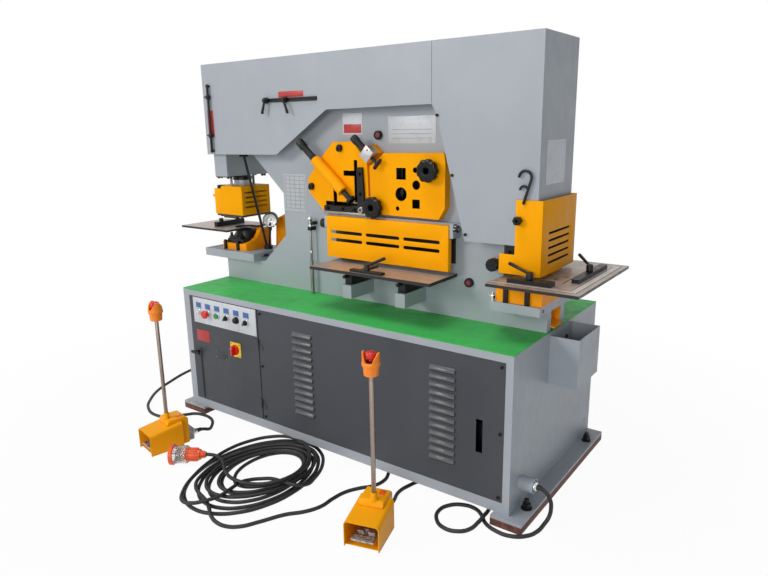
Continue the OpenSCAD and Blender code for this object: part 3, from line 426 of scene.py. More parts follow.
@dataclass(frozen=True)
class Paint(Finish):
    """Sprayed or powder-coated paint.

    Attributes:
        colour: The paint's colour.
        roughness: Its roughness where clean.
        peel: Strength of the fine surface waves.
        darkening: How dark it gets in streaky patches and towards the bottom.
        wear_and_highlight_share: How much of the edges takes the edge colour.
        gloss: How strongly it mirrors the room.
        wear_and_highlight_colour: The colour at its edges: bare metal on most paints, and a lighter painted highlight
            on the sheet paint.
    """

    colour: str = "a4abb3"
    roughness: float = 0.42
    peel: float = 0.12
    darkening: float = 0.10
    wear_and_highlight_share: float = 0.25
    gloss: float = 0.42
    wear_and_highlight_colour: str = "8d8880"

    def build(self, graph: Graph) -> None:
        """Wires tone patches, surface waves, darker streaks, a darkening towards the bottom, and edges in the edge
        colour, which is a painted highlight on the sheet paint.
        """
        base = linear(self.colour)
        patches = graph.between(graph.noise(3.2, 4.0), 0.3, 0.7)
        tone = graph.blend(patches, base, toned(base, 1.07))
        streaks = graph.noise(9.0, 5.0, stretch=(1.0, 1.0, 0.14), twist=0.3)
        darkening = graph.maths("MULTIPLY", graph.between(streaks, 0.52, 0.78), self.darkening)
        # Darker towards the bottom, below about 0.32 m.
        low = graph.between(graph.height(), 0.32, 0.02, (0.0, 1.0))
        darkening = graph.maths("ADD", darkening, graph.maths("MULTIPLY", low, self.darkening * 0.6))
        tone = graph.blend(darkening, tone, toned(base, 0.80))
        # On the sheet paint the edge colour is a painted highlight; on the other paints it is bare metal showing
        # through chips.
        if self.wear_and_highlight_share > 0.0:
            flakes = graph.between(graph.noise(70.0, 4.0), 0.52, 0.64)
            edge_mask = graph.maths("MULTIPLY", graph.edges(1.6), flakes)
            tone = graph.blend(graph.maths("MULTIPLY", edge_mask, self.wear_and_highlight_share), tone, linear(self.wear_and_highlight_colour))
        scuffs = graph.noise(26.0, 5.0, stretch=(1.0, 1.0, 0.6))
        blur = graph.between(scuffs, 0.3, 0.75, (self.roughness - 0.05, self.roughness + 0.10))
        graph.set(Base_Color=tone, Specular_IOR_Level=self.gloss, Roughness=blur)
        graph.relief(graph.noise(420.0, 2.0), self.peel, 0.25)
        graph.relief(graph.noise(14.0, 2.0), self.peel * 0.5, 1.2)


@dataclass(frozen=True)
class TexturedPaint(Paint):
    """Dark wrinkled powder coat, as on the cabinet's door and panel."""

    def build(self, graph: Graph) -> None:
        """Wires a plain paint with a coarser grain on top."""
        super().build(graph)
        graph.relief(graph.cells(620.0), 0.22, 0.2)


@dataclass(frozen=True)
class HoleShadedPaint(Paint):
    """Paint on a plate, with painted shade on the walls of its holes.

    Attributes:
        spans: Low and high X and Z, in millimetres, of the places with holes.
        behind: Depth past which the painted shade starts.
    """

    spans: tuple[tuple[float, float, float, float], ...] = (
        (1188.0, 1326.0, 1104.0, 1306.0), (786.0, 990.0, 1105.0, 1334.0),
    )
    behind: float = 272.5

    def build(self, graph: Graph) -> None:
        """Wires the paint, then painted shade on the walls of the holes."""
        super().build(graph)
        painted = graph.shader.inputs["Base Color"].links[0].from_socket
        split = graph.add("ShaderNodeSeparateXYZ")
        graph.feed(split.inputs["Vector"], graph.place)
        inside: object = 0.0
        for x0, x1, z0, z1 in self.spans:
            low, high = SITE.at((x0, 0.0, z0)), SITE.at((x1, 0.0, z1))
            here: object = 1.0
            for axis, a, b in (("X", low.x, high.x), ("Z", low.z, high.z)):
                here = graph.maths("MULTIPLY", here, graph.maths("GREATER_THAN", split.outputs[axis], a))
                here = graph.maths("MULTIPLY", here, graph.maths("LESS_THAN", split.outputs[axis], b))
            inside = graph.maths("MAXIMUM", inside, here)
        deep = graph.maths("GREATER_THAN", split.outputs["Y"], SITE.at((0.0, self.behind, 0.0)).y)
        wall = graph.maths("LESS_THAN", graph.maths("ABSOLUTE", graph.facing("Y")), 0.7)
        share = graph.maths("MULTIPLY", inside, graph.maths("MULTIPLY", deep, wall))
        # Painted shade: the hole walls past the given depth are coloured near black.
        graph.set(Base_Color=graph.blend(share, painted, linear("151414")))


@dataclass(frozen=True)
class Metal(Finish):
    """Bare or oxide-coated metal with grinding marks.

    Attributes:
        colour: The metal's colour.
        stain: The colour of its oil film or rust bloom.
        stained: How much of it the stain covers.
        roughness: Its roughness along the marks.
        metallic: How metallic it is.
        grain: Scale factors of the grinding marks along X, Y and Z.
        rim: The colour of faces that don't look up, or none.
        lift: How bright its edges are worn.
        gloss: How strongly its bare parts mirror the room.
        marks: How clear and deep its grinding marks are.
    """

    colour: str = "8c8580"
    stain: str = "6b5546"
    stained: float = 0.35
    roughness: float = 0.34
    metallic: float = 1.0
    grain: tuple[float, float, float] = (0.06, 1.0, 1.0)
    rim: str = ""
    lift: float = 0.25
    gloss: float = 0.5
    marks: float = 1.0

    def build(self, graph: Graph) -> None:
        """Wires grinding marks, oil patches and worn edges."""
        marks = graph.noise(520.0, 3.0, stretch=self.grain)
        base = linear(self.colour)
        tone = graph.blend(graph.between(marks, 0.3, 0.7), toned(base, 1.0 - 0.22 * self.marks), base)
        film = graph.between(graph.noise(7.5, 6.0, twist=0.6), 0.42, 0.72)
        spots = graph.between(graph.noise(46.0, 3.0), 0.60, 0.74)
        film = graph.maths("MULTIPLY", graph.maths("MAXIMUM", film, spots), self.stained)
        tone = graph.blend(film, tone, linear(self.stain))
        if self.rim:
            level = graph.maths("ABSOLUTE", graph.facing("Z"))
            tone = graph.blend(graph.between(level, 0.9, 0.4), tone, linear(self.rim))
        if self.lift > 0.0:
            edge_mask = graph.maths("MULTIPLY", graph.edges(0.9), self.lift)
            tone = graph.blend(edge_mask, tone, linear("c9c6c1"))
        spread = (self.roughness - 0.06, self.roughness + 0.12)
        graph.set(Base_Color=tone, Metallic=self.metallic, Specular_IOR_Level=self.gloss)
        graph.set(Roughness=graph.between(graph.noise(60.0, 4.0), 0.3, 0.7, spread))
        graph.relief(marks, 0.10 * self.marks, 0.08)
        graph.relief(graph.noise(130.0, 3.0), 0.05, 0.2)


@dataclass(frozen=True)
class Casting(Finish):
    """Rough cast or die-cast metal.

    Attributes:
        colour: The metal's colour.
        roughness: Its roughness.
        metallic: How metallic it is.
    """

    colour: str = "b3aeaa"
    roughness: float = 0.46
    metallic: float = 0.9

    def build(self, graph: Graph) -> None:
        """Wires cast grain with darker pits."""
        base = linear(self.colour)
        pits = graph.between(graph.noise(90.0, 5.0), 0.35, 0.62)
        spread = (self.roughness - 0.08, self.roughness + 0.12)
        graph.set(Base_Color=graph.blend(pits, toned(base, 0.55), base), Metallic=self.metallic)
        graph.set(Roughness=graph.between(graph.noise(30.0), 0.3, 0.7, spread))
        graph.relief(graph.noise(600.0, 4.0), 0.30, 0.25)
        graph.relief(graph.cells(240.0), 0.12, 0.2)


@dataclass(frozen=True)
class Plastic(Finish):
    """Moulded plastic.

    Attributes:
        colour: The plastic's colour.
        roughness: Its roughness.
        grain: Strength of its moulded grain.
        clear: How much light passes through.
        gloss: How strongly it mirrors the room.
    """

    colour: str = "141414"
    roughness: float = 0.34
    grain: float = 0.08
    clear: float = 0.0
    gloss: float = 0.5

    def build(self, graph: Graph) -> None:
        """Wires a moulded surface with faint flow marks and handling scuffs."""
        base = linear(self.colour)
        flow = graph.between(graph.noise(24.0, 4.0), 0.42, 0.75)
        tone = graph.blend(flow, base, toned(base, 1.25, 0.004))
        scuff = graph.between(graph.noise(55.0, 5.0, stretch=(1.0, 0.4, 1.0)), 0.45, 0.75)
        spread = (self.roughness, min(1.0, self.roughness + 0.16))
        graph.set(Base_Color=tone, Specular_IOR_Level=self.gloss, Transmission_Weight=self.clear)
        graph.set(Roughness=graph.between(scuff, 0.0, 1.0, spread))
        graph.relief(graph.noise(700.0, 2.0), self.grain, 0.12)


@dataclass(frozen=True)
class Rubber(Finish):
    """Rubber or a soft cable sheath.

    Attributes:
        colour: The rubber's colour.
        dust: How much pale dust lies on it.
        rib_mm: Pitch of its ribs, or zero for none.
        sheen: How bright its grazing edges are.
    """

    colour: str = "1b1b1c"
    dust: float = 0.12
    rib_mm: float = 0.0
    sheen: float = 0.1

    def build(self, graph: Graph) -> None:
        """Wires matt rubber with dust and, on a mat, fine ribs."""
        base = linear(self.colour)
        tone = graph.blend(graph.between(graph.noise(4.0, 5.0), 0.35, 0.70), base, toned(base, 0.80))
        film = graph.maths("MULTIPLY", graph.between(graph.noise(38.0, 6.0), 0.40, 0.80), self.dust)
        tone = graph.blend(film, tone, toned(base, 1.45, 0.012))
        graph.set(Base_Color=tone, Sheen_Weight=self.sheen)
        graph.set(Roughness=graph.between(graph.noise(17.0, 4.0), 0.3, 0.7, (0.48, 0.66)))
        graph.relief(graph.noise(480.0, 3.0), 0.16, 0.2)
        if self.rib_mm > 0.0:
            graph.relief(graph.ribs(self.rib_mm, (0.0, 0.0, math.pi / 2)), 0.35, 0.5)


@dataclass(frozen=True)
class Board(Finish):
    """Stained softwood board, with its grain along X or Y.

    Attributes:
        colour: The stain's colour.
        late: The colour of its dark rings.
        along_y: Whether the grain runs along Y.
    """

    colour: str = "75483c"
    late: str = "4a2a22"
    along_y: bool = True

    def build(self, graph: Graph) -> None:
        """Wires long rings, fine fibres and rubbed edges."""
        stretch = (1.0, 0.05, 1.0) if self.along_y else (0.05, 1.0, 1.0)
        rings = graph.noise(60.0, 4.0, stretch=stretch, twist=1.2)
        fibres = graph.noise(700.0, 2.0, stretch=stretch)
        tone = graph.blend(graph.between(rings, 0.36, 0.62), linear(self.late), linear(self.colour))
        edge_mask = graph.maths("MULTIPLY", graph.edges(3.0), 0.4)
        graph.set(Base_Color=graph.blend(edge_mask, tone, linear("97695a")), Roughness=0.68)
        graph.relief(fibres, 0.35, 0.3)
        graph.relief(rings, 0.20, 0.6)


@dataclass(frozen=True)
class Enamel(Finish):
    """Smooth printed or anodised plate without any print.

    Attributes:
        colour: The plate's colour.
        metallic: How metallic it is.
        roughness: Its roughness.
    """

    colour: str = "dcdfe2"
    metallic: float = 0.0
    roughness: float = 0.32

    def build(self, graph: Graph) -> None:
        """Wires a plate with a rolled grain and faint finger marks."""
        base = linear(self.colour)
        marks = graph.noise(300.0, 2.0, stretch=(0.03, 1.0, 1.0))
        prints = graph.between(graph.noise(22.0, 5.0, twist=0.8), 0.50, 0.75)
        graph.set(Base_Color=graph.blend(prints, base, toned(base, 0.88)), Metallic=self.metallic)
        graph.set(Roughness=graph.between(marks, 0.3, 0.7, (self.roughness, self.roughness + 0.14)))
        graph.relief(marks, 0.04, 0.05)


@dataclass(frozen=True)
class Reflector(Finish):
    """Bright dished reflector behind a lamp's glass."""

    colour: str = "f2f2f0"

    def build(self, graph: Graph) -> None:
        """Wires a pale satin mirror with faint rings."""
        graph.set(Base_Color=linear(self.colour), Metallic=0.35, Roughness=0.24)
        graph.relief(graph.noise(160.0, 2.0), 0.15, 0.3)


@dataclass(frozen=True)
class Glass(Finish):
    """Clear lamp glass."""

    def build(self, graph: Graph) -> None:
        """Wires thin clear glass with a little dust."""
        graph.set(Base_Color=(1.0, 1.0, 1.0, 1.0), Transmission_Weight=1.0, IOR=1.25)
        graph.set(Roughness=graph.between(graph.noise(40.0, 4.0), 0.5, 0.8, (0.02, 0.18)))


class Coats:
    """The finishes used on this machine."""

    # The sheet paint's pale edge colour, d3d8dc, is a painted highlight along its edges.
    SHEET = Paint("sheet_paint", "a2a9b1", 0.42, 0.12, 0.10, 0.5, 0.42, "d3d8dc")
    PANEL_HOOD = Paint("louvre_paint", "53565a", 0.30, 0.05, 0.02, 0.2, 0.5, "8a8d90")
    PANEL = TexturedPaint("panel_paint", "45484e", 0.46, 0.16, 0.12, 0.2, 0.25)
    YELLOW = Paint("guard_yellow", "ffa905", 0.40, 0.10, 0.05, 0.3, 0.06)
    # Painted shade darkens the walls of this plate's holes.
    YELLOW_HOLE_SHADED = HoleShadedPaint("plate_yellow", "ffa905", 0.40, 0.10, 0.05, 0.3, 0.06)
    DIE_ORANGE = Paint("die_orange", "ff9d0c", 0.42, 0.14, 0.22, 0.6, 0.12)
    PEDAL = Paint("pedal_orange", "ffaa10", 0.38, 0.12, 0.06, 0.3, 0.10)
    UNIT = Paint("unit_paint", "4b6280", 0.45, 0.12, 0.25, 0.2)
    TABLE_BAND = Metal("table_band", "d8cfc8", "b5aaa2", 0.5, 0.38, 0.35, (1.0, 1.0, 1.0), "", 0.0)
    TABLE = Metal("table_steel", "b9aca4", "8a7264", 0.45, 0.38, 0.45, (0.05, 1.0, 1.0), "2b2827", 0.3)
    STEEL = Metal("ground_steel", "a19d99", "6f655d", 0.35, 0.34)
    BRIGHT = Metal("bright_steel", "c2c3c6", "97979a", 0.25, 0.30, 0.9)
    BLACK = Metal("black_oxide", "151516", "0e0e0f", 0.5, 0.38, 0.08, (1.0, 1.0, 1.0), "", 0.05, 0.32)
    DARK_BLADE = Metal("blade_steel", "4d4a49", "2c2522", 0.5, 0.36, 0.9)
    POLE = Metal("pole_steel", "9c8d82", "75675d", 0.35, 0.32, 1.0, (1.0, 1.0, 0.04), "", 0.0, 0.5, 0.3)
    CHROME = Metal("chrome", "d6d7d9", "a9aaac", 0.15, 0.16, 1.0, (1.0, 1.0, 1.0), "", 0.0, 0.5, 0.2)
    TREADLE = Casting("cast_treadle", "b9b3ad")
    CASTING = Casting("box_casting", "8d8f92", 0.52, 0.55)
    BAKELITE = Plastic("knob_black", "0a0a0b", 0.20, 0.04, 0.0, 0.28)
    BLACK_PLASTIC = Plastic("plastic_black", "121213", 0.36, 0.12, 0.0, 0.3)
    RED = Plastic("button_red", "d3201d", 0.26, 0.03)
    GREEN = Plastic("button_green", "0f8a4a", 0.26, 0.03)
    LENS_WHITE = Plastic("pilot_lens", "eceef0", 0.16, 0.02, 0.25)
    SIGNAL_YELLOW = Plastic("switch_yellow", "f5c713", 0.34, 0.06)
    PLUG = Plastic("plug_orange", "ee5a22", 0.32, 0.06)
    PLUG_DARK = Plastic("plug_insert", "7e1f1a", 0.40, 0.06)
    PLUG_CLEAR = Plastic("plug_ring", "dcdcd8", 0.07, 0.0, 0.85)
    HEAD_ORANGE = Plastic("head_orange", "ff8a17", 0.36, 0.10)
    CORD = Rubber("cord_sheath", "0e0e10", 0.06, 0.0, 0.02)
    MAT = Rubber("mat_green", "2db44c", 0.14, 3.0, 0.04)
    BOOT = Rubber("boot_black", "121213", 0.05, 0.0, 0.02)
    WOOD = Board("skid_board")
    PLATE = Enamel("plate_satin", "cdd2d8", 0.0, 0.34)
    PLATE_METAL = Enamel("plate_metal", "bfc3c8", 0.25, 0.46)
    PLATE_RED = Enamel("plate_red", "b5302d", 0.0, 0.36)
    PLATE_BLUE = Enamel("legend_blue", "3c66a8", 0.0, 0.36)
    SHADE = Plastic("deep_shade", "060607", 0.85, 0.05, 0.0, 0.1)
    PLATE_DARK = Enamel("plate_dark", "2b2d30", 0.0, 0.42)
    PLATE_LINE = Enamel("plate_line", "6d7278", 0.0, 0.45)
    PLATE_GREY = Enamel("plate_grey", "b9bdc3", 0.0, 0.40)
    REFLECTOR = Reflector("lamp_reflector")
    GLASS = Glass("lamp_glass")


# ---------- making pieces ----------


SHARP = 0.9  # radians between two faces whose edge is rounded
SMOOTH = 38.0  # degrees between two faces that still shade as one


class Maker:
    """Collects bmesh shapes in machine millimetres and turns them into one piece.

    Each shape is made on its own by operators, given its finish, and then joined to the rest.
    """

    def __init__(self, name: str, home: Matrix | None = None) -> None:
        """Starts an empty piece.

        Args:
            name: The piece's name.
            home: A frame that the shapes are placed in, if not the machine's own.
        """
        self.name = name
        self.home = home or Matrix.Identity(4)
        self.whole = bmesh.new()
        self.finishes: list[Finish] = []

    def join(self, shape: bmesh.types.BMesh, finish: Finish, turn: Matrix | None = None) -> None:
        """Adds a finished shape to the piece and frees it.

        Args:
            shape: The shape, which is used up.
            finish: What it is finished in.
            turn: Where it goes in the piece's frame.
        """
        if finish not in self.finishes:
            self.finishes.append(finish)
        index = self.finishes.index(finish)
        bmesh.ops.transform(shape, matrix=turn or Matrix.Identity(4), verts=shape.verts)
        for face in shape.faces:
            face.material_index = index
            face.smooth = True
        mesh = bpy.data.meshes.new("shape")
        shape.to_mesh(mesh)
        shape.free()
        self.whole.from_mesh(mesh)
        bpy.data.meshes.remove(mesh)

    def box(
        self,
        x: Span,
        y: Span,
        z: Span,
        finish: Finish,
        edge: float = 1.0,
        segments: int = 2,
        turn: Matrix | None = None,
    ) -> None:
        """Adds a block with rounded edges.

        Args:
            x: Its span along X.
            y: Its span along Y.
            z: Its span along Z.
            finish: What it is finished in.
            edge: Radius of its edges.
            segments: Facets across each edge.
            turn: Where it goes, if it is drawn in a frame of its own.
        """
        shape = bmesh.new()
        low, high = Vector((x[0], y[0], z[0])), Vector((x[1], y[1], z[1]))
        size = Matrix.Diagonal((*(high - low), 1.0))
        bmesh.ops.create_cube(shape, size=1.0, matrix=Matrix.Translation((low + high) / 2) @ size)
        if edge > 0.0:
            self.ease(shape, shape.edges[:], edge, segments)
        self.join(shape, finish, turn)

    @staticmethod
    def ease(
        shape: bmesh.types.BMesh, edges: list[bmesh.types.BMEdge], radius: float, segments: int = 2
    ) -> None:
        """Rounds edges of a shape.

        Args:
            shape: The shape.
            edges: The edges to round.
            radius: How far the round reaches.
            segments: Facets across it.
        """
        bmesh.ops.bevel(
            shape,
            geom=edges,
            offset=radius,
            offset_type="OFFSET",
            segments=segments,
            profile=0.5,
            affect="EDGES",
            material=-1,
            clamp_overlap=True,
        )

    @staticmethod
    def sweep(
        shape: bmesh.types.BMesh,
        parts: list,
        centre: Point,
        axis: Point,
        angle: float,
        steps: int,
        merge: bool = False,
    ) -> None:
        """Sweeps edges or faces round an axis.

        Args:
            shape: The shape they belong to.
            parts: What is swept.
            centre: A point of the axis.
            axis: Its direction.
            angle: How far they are swept, in radians.
            steps: Facets along the way.
            merge: Whether the end is joined to the start.
        """
        bmesh.ops.spin(
            shape,
            geom=parts,
            cent=centre,
            axis=axis,
            dvec=ORIGIN,
            angle=angle,
            steps=steps,
            use_merge=merge,
            use_duplicate=False,
        )

    @staticmethod
    def rounded(
        shape: bmesh.types.BMesh, corners: list[bmesh.types.BMVert], radius: float, segments: int
    ) -> bmesh.types.BMFace:
        """Rounds corners of a flat shape and returns its face.

        Args:
            shape: The shape, which is a single face.
            corners: The corners to round.
            radius: How far the round reaches.
            segments: Facets across it.

        Returns:
            The face that is left.
        """
        bmesh.ops.bevel(
            shape,
            geom=corners,
            offset=radius,
            offset_type="OFFSET",
            segments=segments,
            profile=0.5,
            affect="VERTICES",
            material=-1,
        )
        return shape.faces[:][0]

    @staticmethod
    def thicken(shape: bmesh.types.BMesh, depth: float) -> None:
        """Raises a flat shape along Z into a solid one."""
        raised = bmesh.ops.extrude_face_region(shape, geom=shape.faces[:])["geom"]
        lifted = [v for v in raised if isinstance(v, bmesh.types.BMVert)]
        bmesh.ops.translate(shape, vec=(0.0, 0.0, depth), verts=lifted)
        bmesh.ops.recalc_face_normals(shape, faces=shape.faces)

    @staticmethod
    def rims(shape: bmesh.types.BMesh, sides: int) -> list[bmesh.types.BMEdge]:
        """Returns the edges of the end faces, which have as many corners as there are sides."""
        return [e for e in shape.edges if any(len(f.verts) == sides for f in e.link_faces)]

    def ease_sharp(self, shape: bmesh.types.BMesh, radius: float) -> None:
        """Rounds every edge of a shape that turns by more than SHARP."""
        self.ease(shape, [e for e in shape.edges if e.calc_face_angle(0.0) > SHARP], radius)

    def rod(
        self,
        start: Point,
        end: Point,
        width: float,
        finish: Finish,
        end_width: float | None = None,
        edge: float = 0.8,
        sides: int = 32,
    ) -> None:
        """Adds a round bar or cone between two points.

        Args:
            start: Middle of its first end.
            end: Middle of its other end.
            width: Its diameter at the start.
            finish: What it is finished in.
            end_width: Its diameter at the end, if it tapers.
            edge: Radius of its two rims.
            sides: Facets round it.
        """
        a, b = Vector(start), Vector(end)
        along = b - a
        shape = bmesh.new()
        far = width if end_width is None else end_width
        bmesh.ops.create_cone(
            shape,
            cap_ends=True,
            cap_tris=False,
            segments=sides,
            radius1=width / 2,
            radius2=far / 2,
            depth=along.length,
            matrix=Matrix.Translation((a + b) / 2) @ pointed(along),
        )
        if edge > 0.0:
            self.ease(shape, self.rims(shape, sides), min(edge, along.length * 0.3))
        self.join(shape, finish)

    def turned(
        self,
        profile: Sequence[Span],
        base: Point,
        axis: Axis,
        finish: Finish,
        sides: int = 48,
    ) -> None:
        """Adds a shape turned on a lathe.

        Args:
            profile: Pairs of radius and height, from one end to the other.
            base: Where height zero is.
            axis: The way the heights run.
            finish: What it is finished in.
            sides: Facets round it.
        """
        shape = bmesh.new()
        points = [shape.verts.new((radius, 0.0, height)) for radius, height in profile]
        lines = [shape.edges.new(pair) for pair in zip(points, points[1:])]
        self.sweep(shape, points + lines, ORIGIN, UP, math.tau, sides, merge=True)
        bmesh.ops.remove_doubles(shape, verts=shape.verts, dist=0.002)
        bmesh.ops.recalc_face_normals(shape, faces=shape.faces)
        self.join(shape, finish, Matrix.Translation(Vector(base)) @ pointed(axis.value))

    def bend(
        self,
        start: Point,
        heading: Point,
        centre: Point,
        axis: Point,
        degrees: float,
        width: float,
        finish: Finish,
    ) -> None:
        """Adds a round bar bent along an arc.

        Args:
            start: Middle of its first end.
            heading: The way it leaves its start.
            centre: What it is bent round.
            axis: The axis of the bend.
            degrees: How far it is bent.
            width: Its diameter.
            finish: What it is finished in.
        """
        shape = bmesh.new()
        place = Matrix.Translation(Vector(start)) @ pointed(heading)
        bmesh.ops.create_circle(shape, cap_ends=True, segments=16, radius=width / 2, matrix=place)
        self.sweep(shape, shape.faces[:], centre, axis, math.radians(degrees), 14)
        bmesh.ops.recalc_face_normals(shape, faces=shape.faces)
        self.join(shape, finish)

    def slab(
        self,
        outline: Sequence[Span],
        place: Matrix,
        thickness: float,
        finish: Finish,
        slots: Iterable[tuple[float, float, float, float]] = (),
        edge: float = 0.0,
        corner: float = 0.0,
        folds: dict[int, float] | None = None,
    ) -> None:
        """Adds a flat plate cut from sheet, with slots through it if it has any.

        Args:
            outline: Corners of the plate in its own plane.
            place: From that plane to the piece's frame.
            thickness: How far the plate reaches along the plane's third axis.
            finish: What it is finished in.
            slots: Middle, length and width of each slot, as u, v, length, width.
            edge: Radius of the plate's edges.
            corner: Radius that the outline's corners are rounded to.
            folds: Radii of single corners, by their place in the outline.
        """
        shape = bmesh.new()
        corners = [shape.verts.new((u, v, 0.0)) for u, v in outline]
        face = shape.faces.new(corners)
        if corner > 0.0:
            face = self.rounded(shape, corners, corner, 5)
        for index, radius in (folds or {}).items():
            face = self.rounded(shape, [corners[index]], radius, 6)
        slots = list(slots)
        if slots:
            rim = list(face.edges)
            bmesh.ops.delete(shape, geom=[face], context="FACES_ONLY")
            for u, v, length, width in slots:
                made = bmesh.ops.create_circle(
                    shape, cap_ends=False, segments=16, radius=width / 2,
                    matrix=Matrix.Translation((u, v, 0.0)),
                )["verts"]
                reach = (length - width) / 2
                for vert in made:
                    beside = vert.co.x - u
                    vert.co.x += math.copysign(reach, beside) if abs(beside) > 1e-4 else 0.0
                rim += list({e for vert in made for e in vert.link_edges})
            bmesh.ops.triangle_fill(shape, use_beauty=True, use_dissolve=False, edges=rim)
        self.thicken(shape, thickness)
        if edge > 0.0:
            self.ease_sharp(shape, edge)
        self.join(shape, finish, place)

    def fluted(
        self, radius: float, depth: float, lobes: int, base: Point, axis: Axis, finish: Finish
    ) -> None:
        """Adds a lobed hand knob with rounded rims and a dished front.

        Args:
            radius: From its middle to a lobe's tip.
            depth: From its back to its front.
            lobes: How many lobes it has.
            base: The middle of its back.
            axis: The way it faces.
            finish: What it is finished in.
        """
        shape = bmesh.new()
        sides = lobes * 8
        made = bmesh.ops.create_circle(shape, cap_ends=True, segments=sides, radius=radius)
        for vert in made["verts"]:
            angle = math.atan2(vert.co.y, vert.co.x)
            dip = (0.5 - 0.5 * math.cos(lobes * angle)) ** 1.5
            vert.co *= 1.0 - min(0.11, 0.72 / lobes) * dip
        self.thicken(shape, depth)
        self.ease(shape, self.rims(shape, sides), min(depth * 0.22, radius * 0.12), 3)
        front = max(shape.faces, key=lambda f: f.calc_center_median().z + 0.01 * len(f.verts))
        for thickness, rise in ((0.14, 0.010), (0.30, 0.012), (0.05, -0.012), (0.12, 0.0)):
            bmesh.ops.inset_region(shape, faces=[front], thickness=radius * thickness, depth=radius * rise)
        self.join(shape, finish, Matrix.Translation(Vector(base)) @ pointed(axis.value))

    def ear(
        self, base: Point, radii: Span, height: float, middle: float, spread: Span, finish: Finish
    ) -> None:
        """Adds a piece of round wall that narrows to a point.

        Args:
            base: The middle of the circle it stands on.
            radii: Its inner and outer radius.
            height: How high it stands.
            middle: Where round the circle its middle is, in degrees.
            spread: How much of the circle it takes at its foot and at its top, in degrees.
            finish: What it is finished in.
        """
        shape = bmesh.new()
        inner, outer = radii
        steps = [height * i / 6 for i in range(7)]
        rim = [(outer, z) for z in steps] + [(inner, z) for z in reversed(steps)]
        face = shape.faces.new([shape.verts.new((radius, 0.0, z)) for radius, z in rim])
        self.sweep(shape, [face], ORIGIN, UP, math.radians(spread[0]), 16)
        for vert in shape.verts:
            share = (vert.co.z / height) ** 1.6
            wide = spread[0] + (spread[1] - spread[0]) * share
            along = math.degrees(math.atan2(vert.co.y, vert.co.x)) / spread[0] - 0.5
            angle = math.radians(middle + along * wide)
            reach = math.hypot(vert.co.x, vert.co.y)
            vert.co.x, vert.co.y = reach * math.cos(angle), reach * math.sin(angle)
        bmesh.ops.recalc_face_normals(shape, faces=shape.faces)
        self.ease_sharp(shape, 0.8)
        self.join(shape, finish, Matrix.Translation(Vector(base)))

    def studs(
        self, spots: Iterable[Point], out: Point, width: float, finish: Finish, edge: float, sides: int
    ) -> None:
        """Adds the same short rod at several places, as screw heads and pins are.

        Args:
            spots: Middle of each one's foot.
            out: How far and which way they stand out.
            width: Their diameter.
            finish: What they are finished in.
            edge: Radius of their rims.
            sides: Facets round them.
        """
        for spot in spots:
            self.rod(spot, Vector(spot) + Vector(out), width, finish, edge=edge, sides=sides)

    def piece(self, body: str, replaces: Sequence[str] = ()) -> bpy.types.Object:
        """Ends the piece: places it in the row, dresses it and hangs it on its body.

        Args:
            body: The CAD body that it rides on.
            replaces: CAD nodes that it stands for.

        Returns:
            The finished object.
        """
        mesh = bpy.data.meshes.new(self.name)
        bmesh.ops.transform(self.whole, matrix=SITE.matrix() @ self.home, verts=self.whole.verts)
        self.whole.to_mesh(mesh)
        self.whole.free()
        mesh.set_sharp_from_angle(angle=math.radians(SMOOTH))
        for finish in self.finishes:
            mesh.materials.append(finish.material())
        made = placed(self.name, mesh)
        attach(made, body)
        if replaces:
            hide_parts(*replaces)
        LOG.info("%s: %d faces on %s", self.name, len(mesh.polygons), body)
        return made


def on_front(y: float) -> Matrix:
    """Returns the frame of a plate that faces the front: u right, v up, thickness forward.

    Args:
        y: Where the plate's back is.

    Returns:
        The transform from the plate's plane to machine millimetres.
    """
    return Matrix.Translation((0.0, y, 0.0)) @ Matrix.Rotation(math.pi / 2, 4, "X")


def on_right(x: float) -> Matrix:
    """Returns the frame of a plate that faces right: u back, v up, thickness to the right.

    Args:
        x: Where the plate's inner face is.

    Returns:
        The transform from the plate's plane to machine millimetres.
    """
    return Matrix.Translation((x, 0.0, 0.0)) @ Matrix(
        ((0.0, 0.0, 1.0, 0.0), (1.0, 0.0, 0.0, 0.0), (0.0, 1.0, 0.0, 0.0), (0.0, 0.0, 0.0, 1.0))
    )


def dress(finish: Finish, *nodes: str) -> None:
    """Gives CAD nodes their finish.

    Args:
        finish: What they are finished in.
        *nodes: The nodes' names.
    """
    for node in nodes:
        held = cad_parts[node]
        held.data.materials.clear()
        held.data.materials.append(finish.material())
        LOG.info("%s: %s", node, finish.name)


# ---------- studio ----------


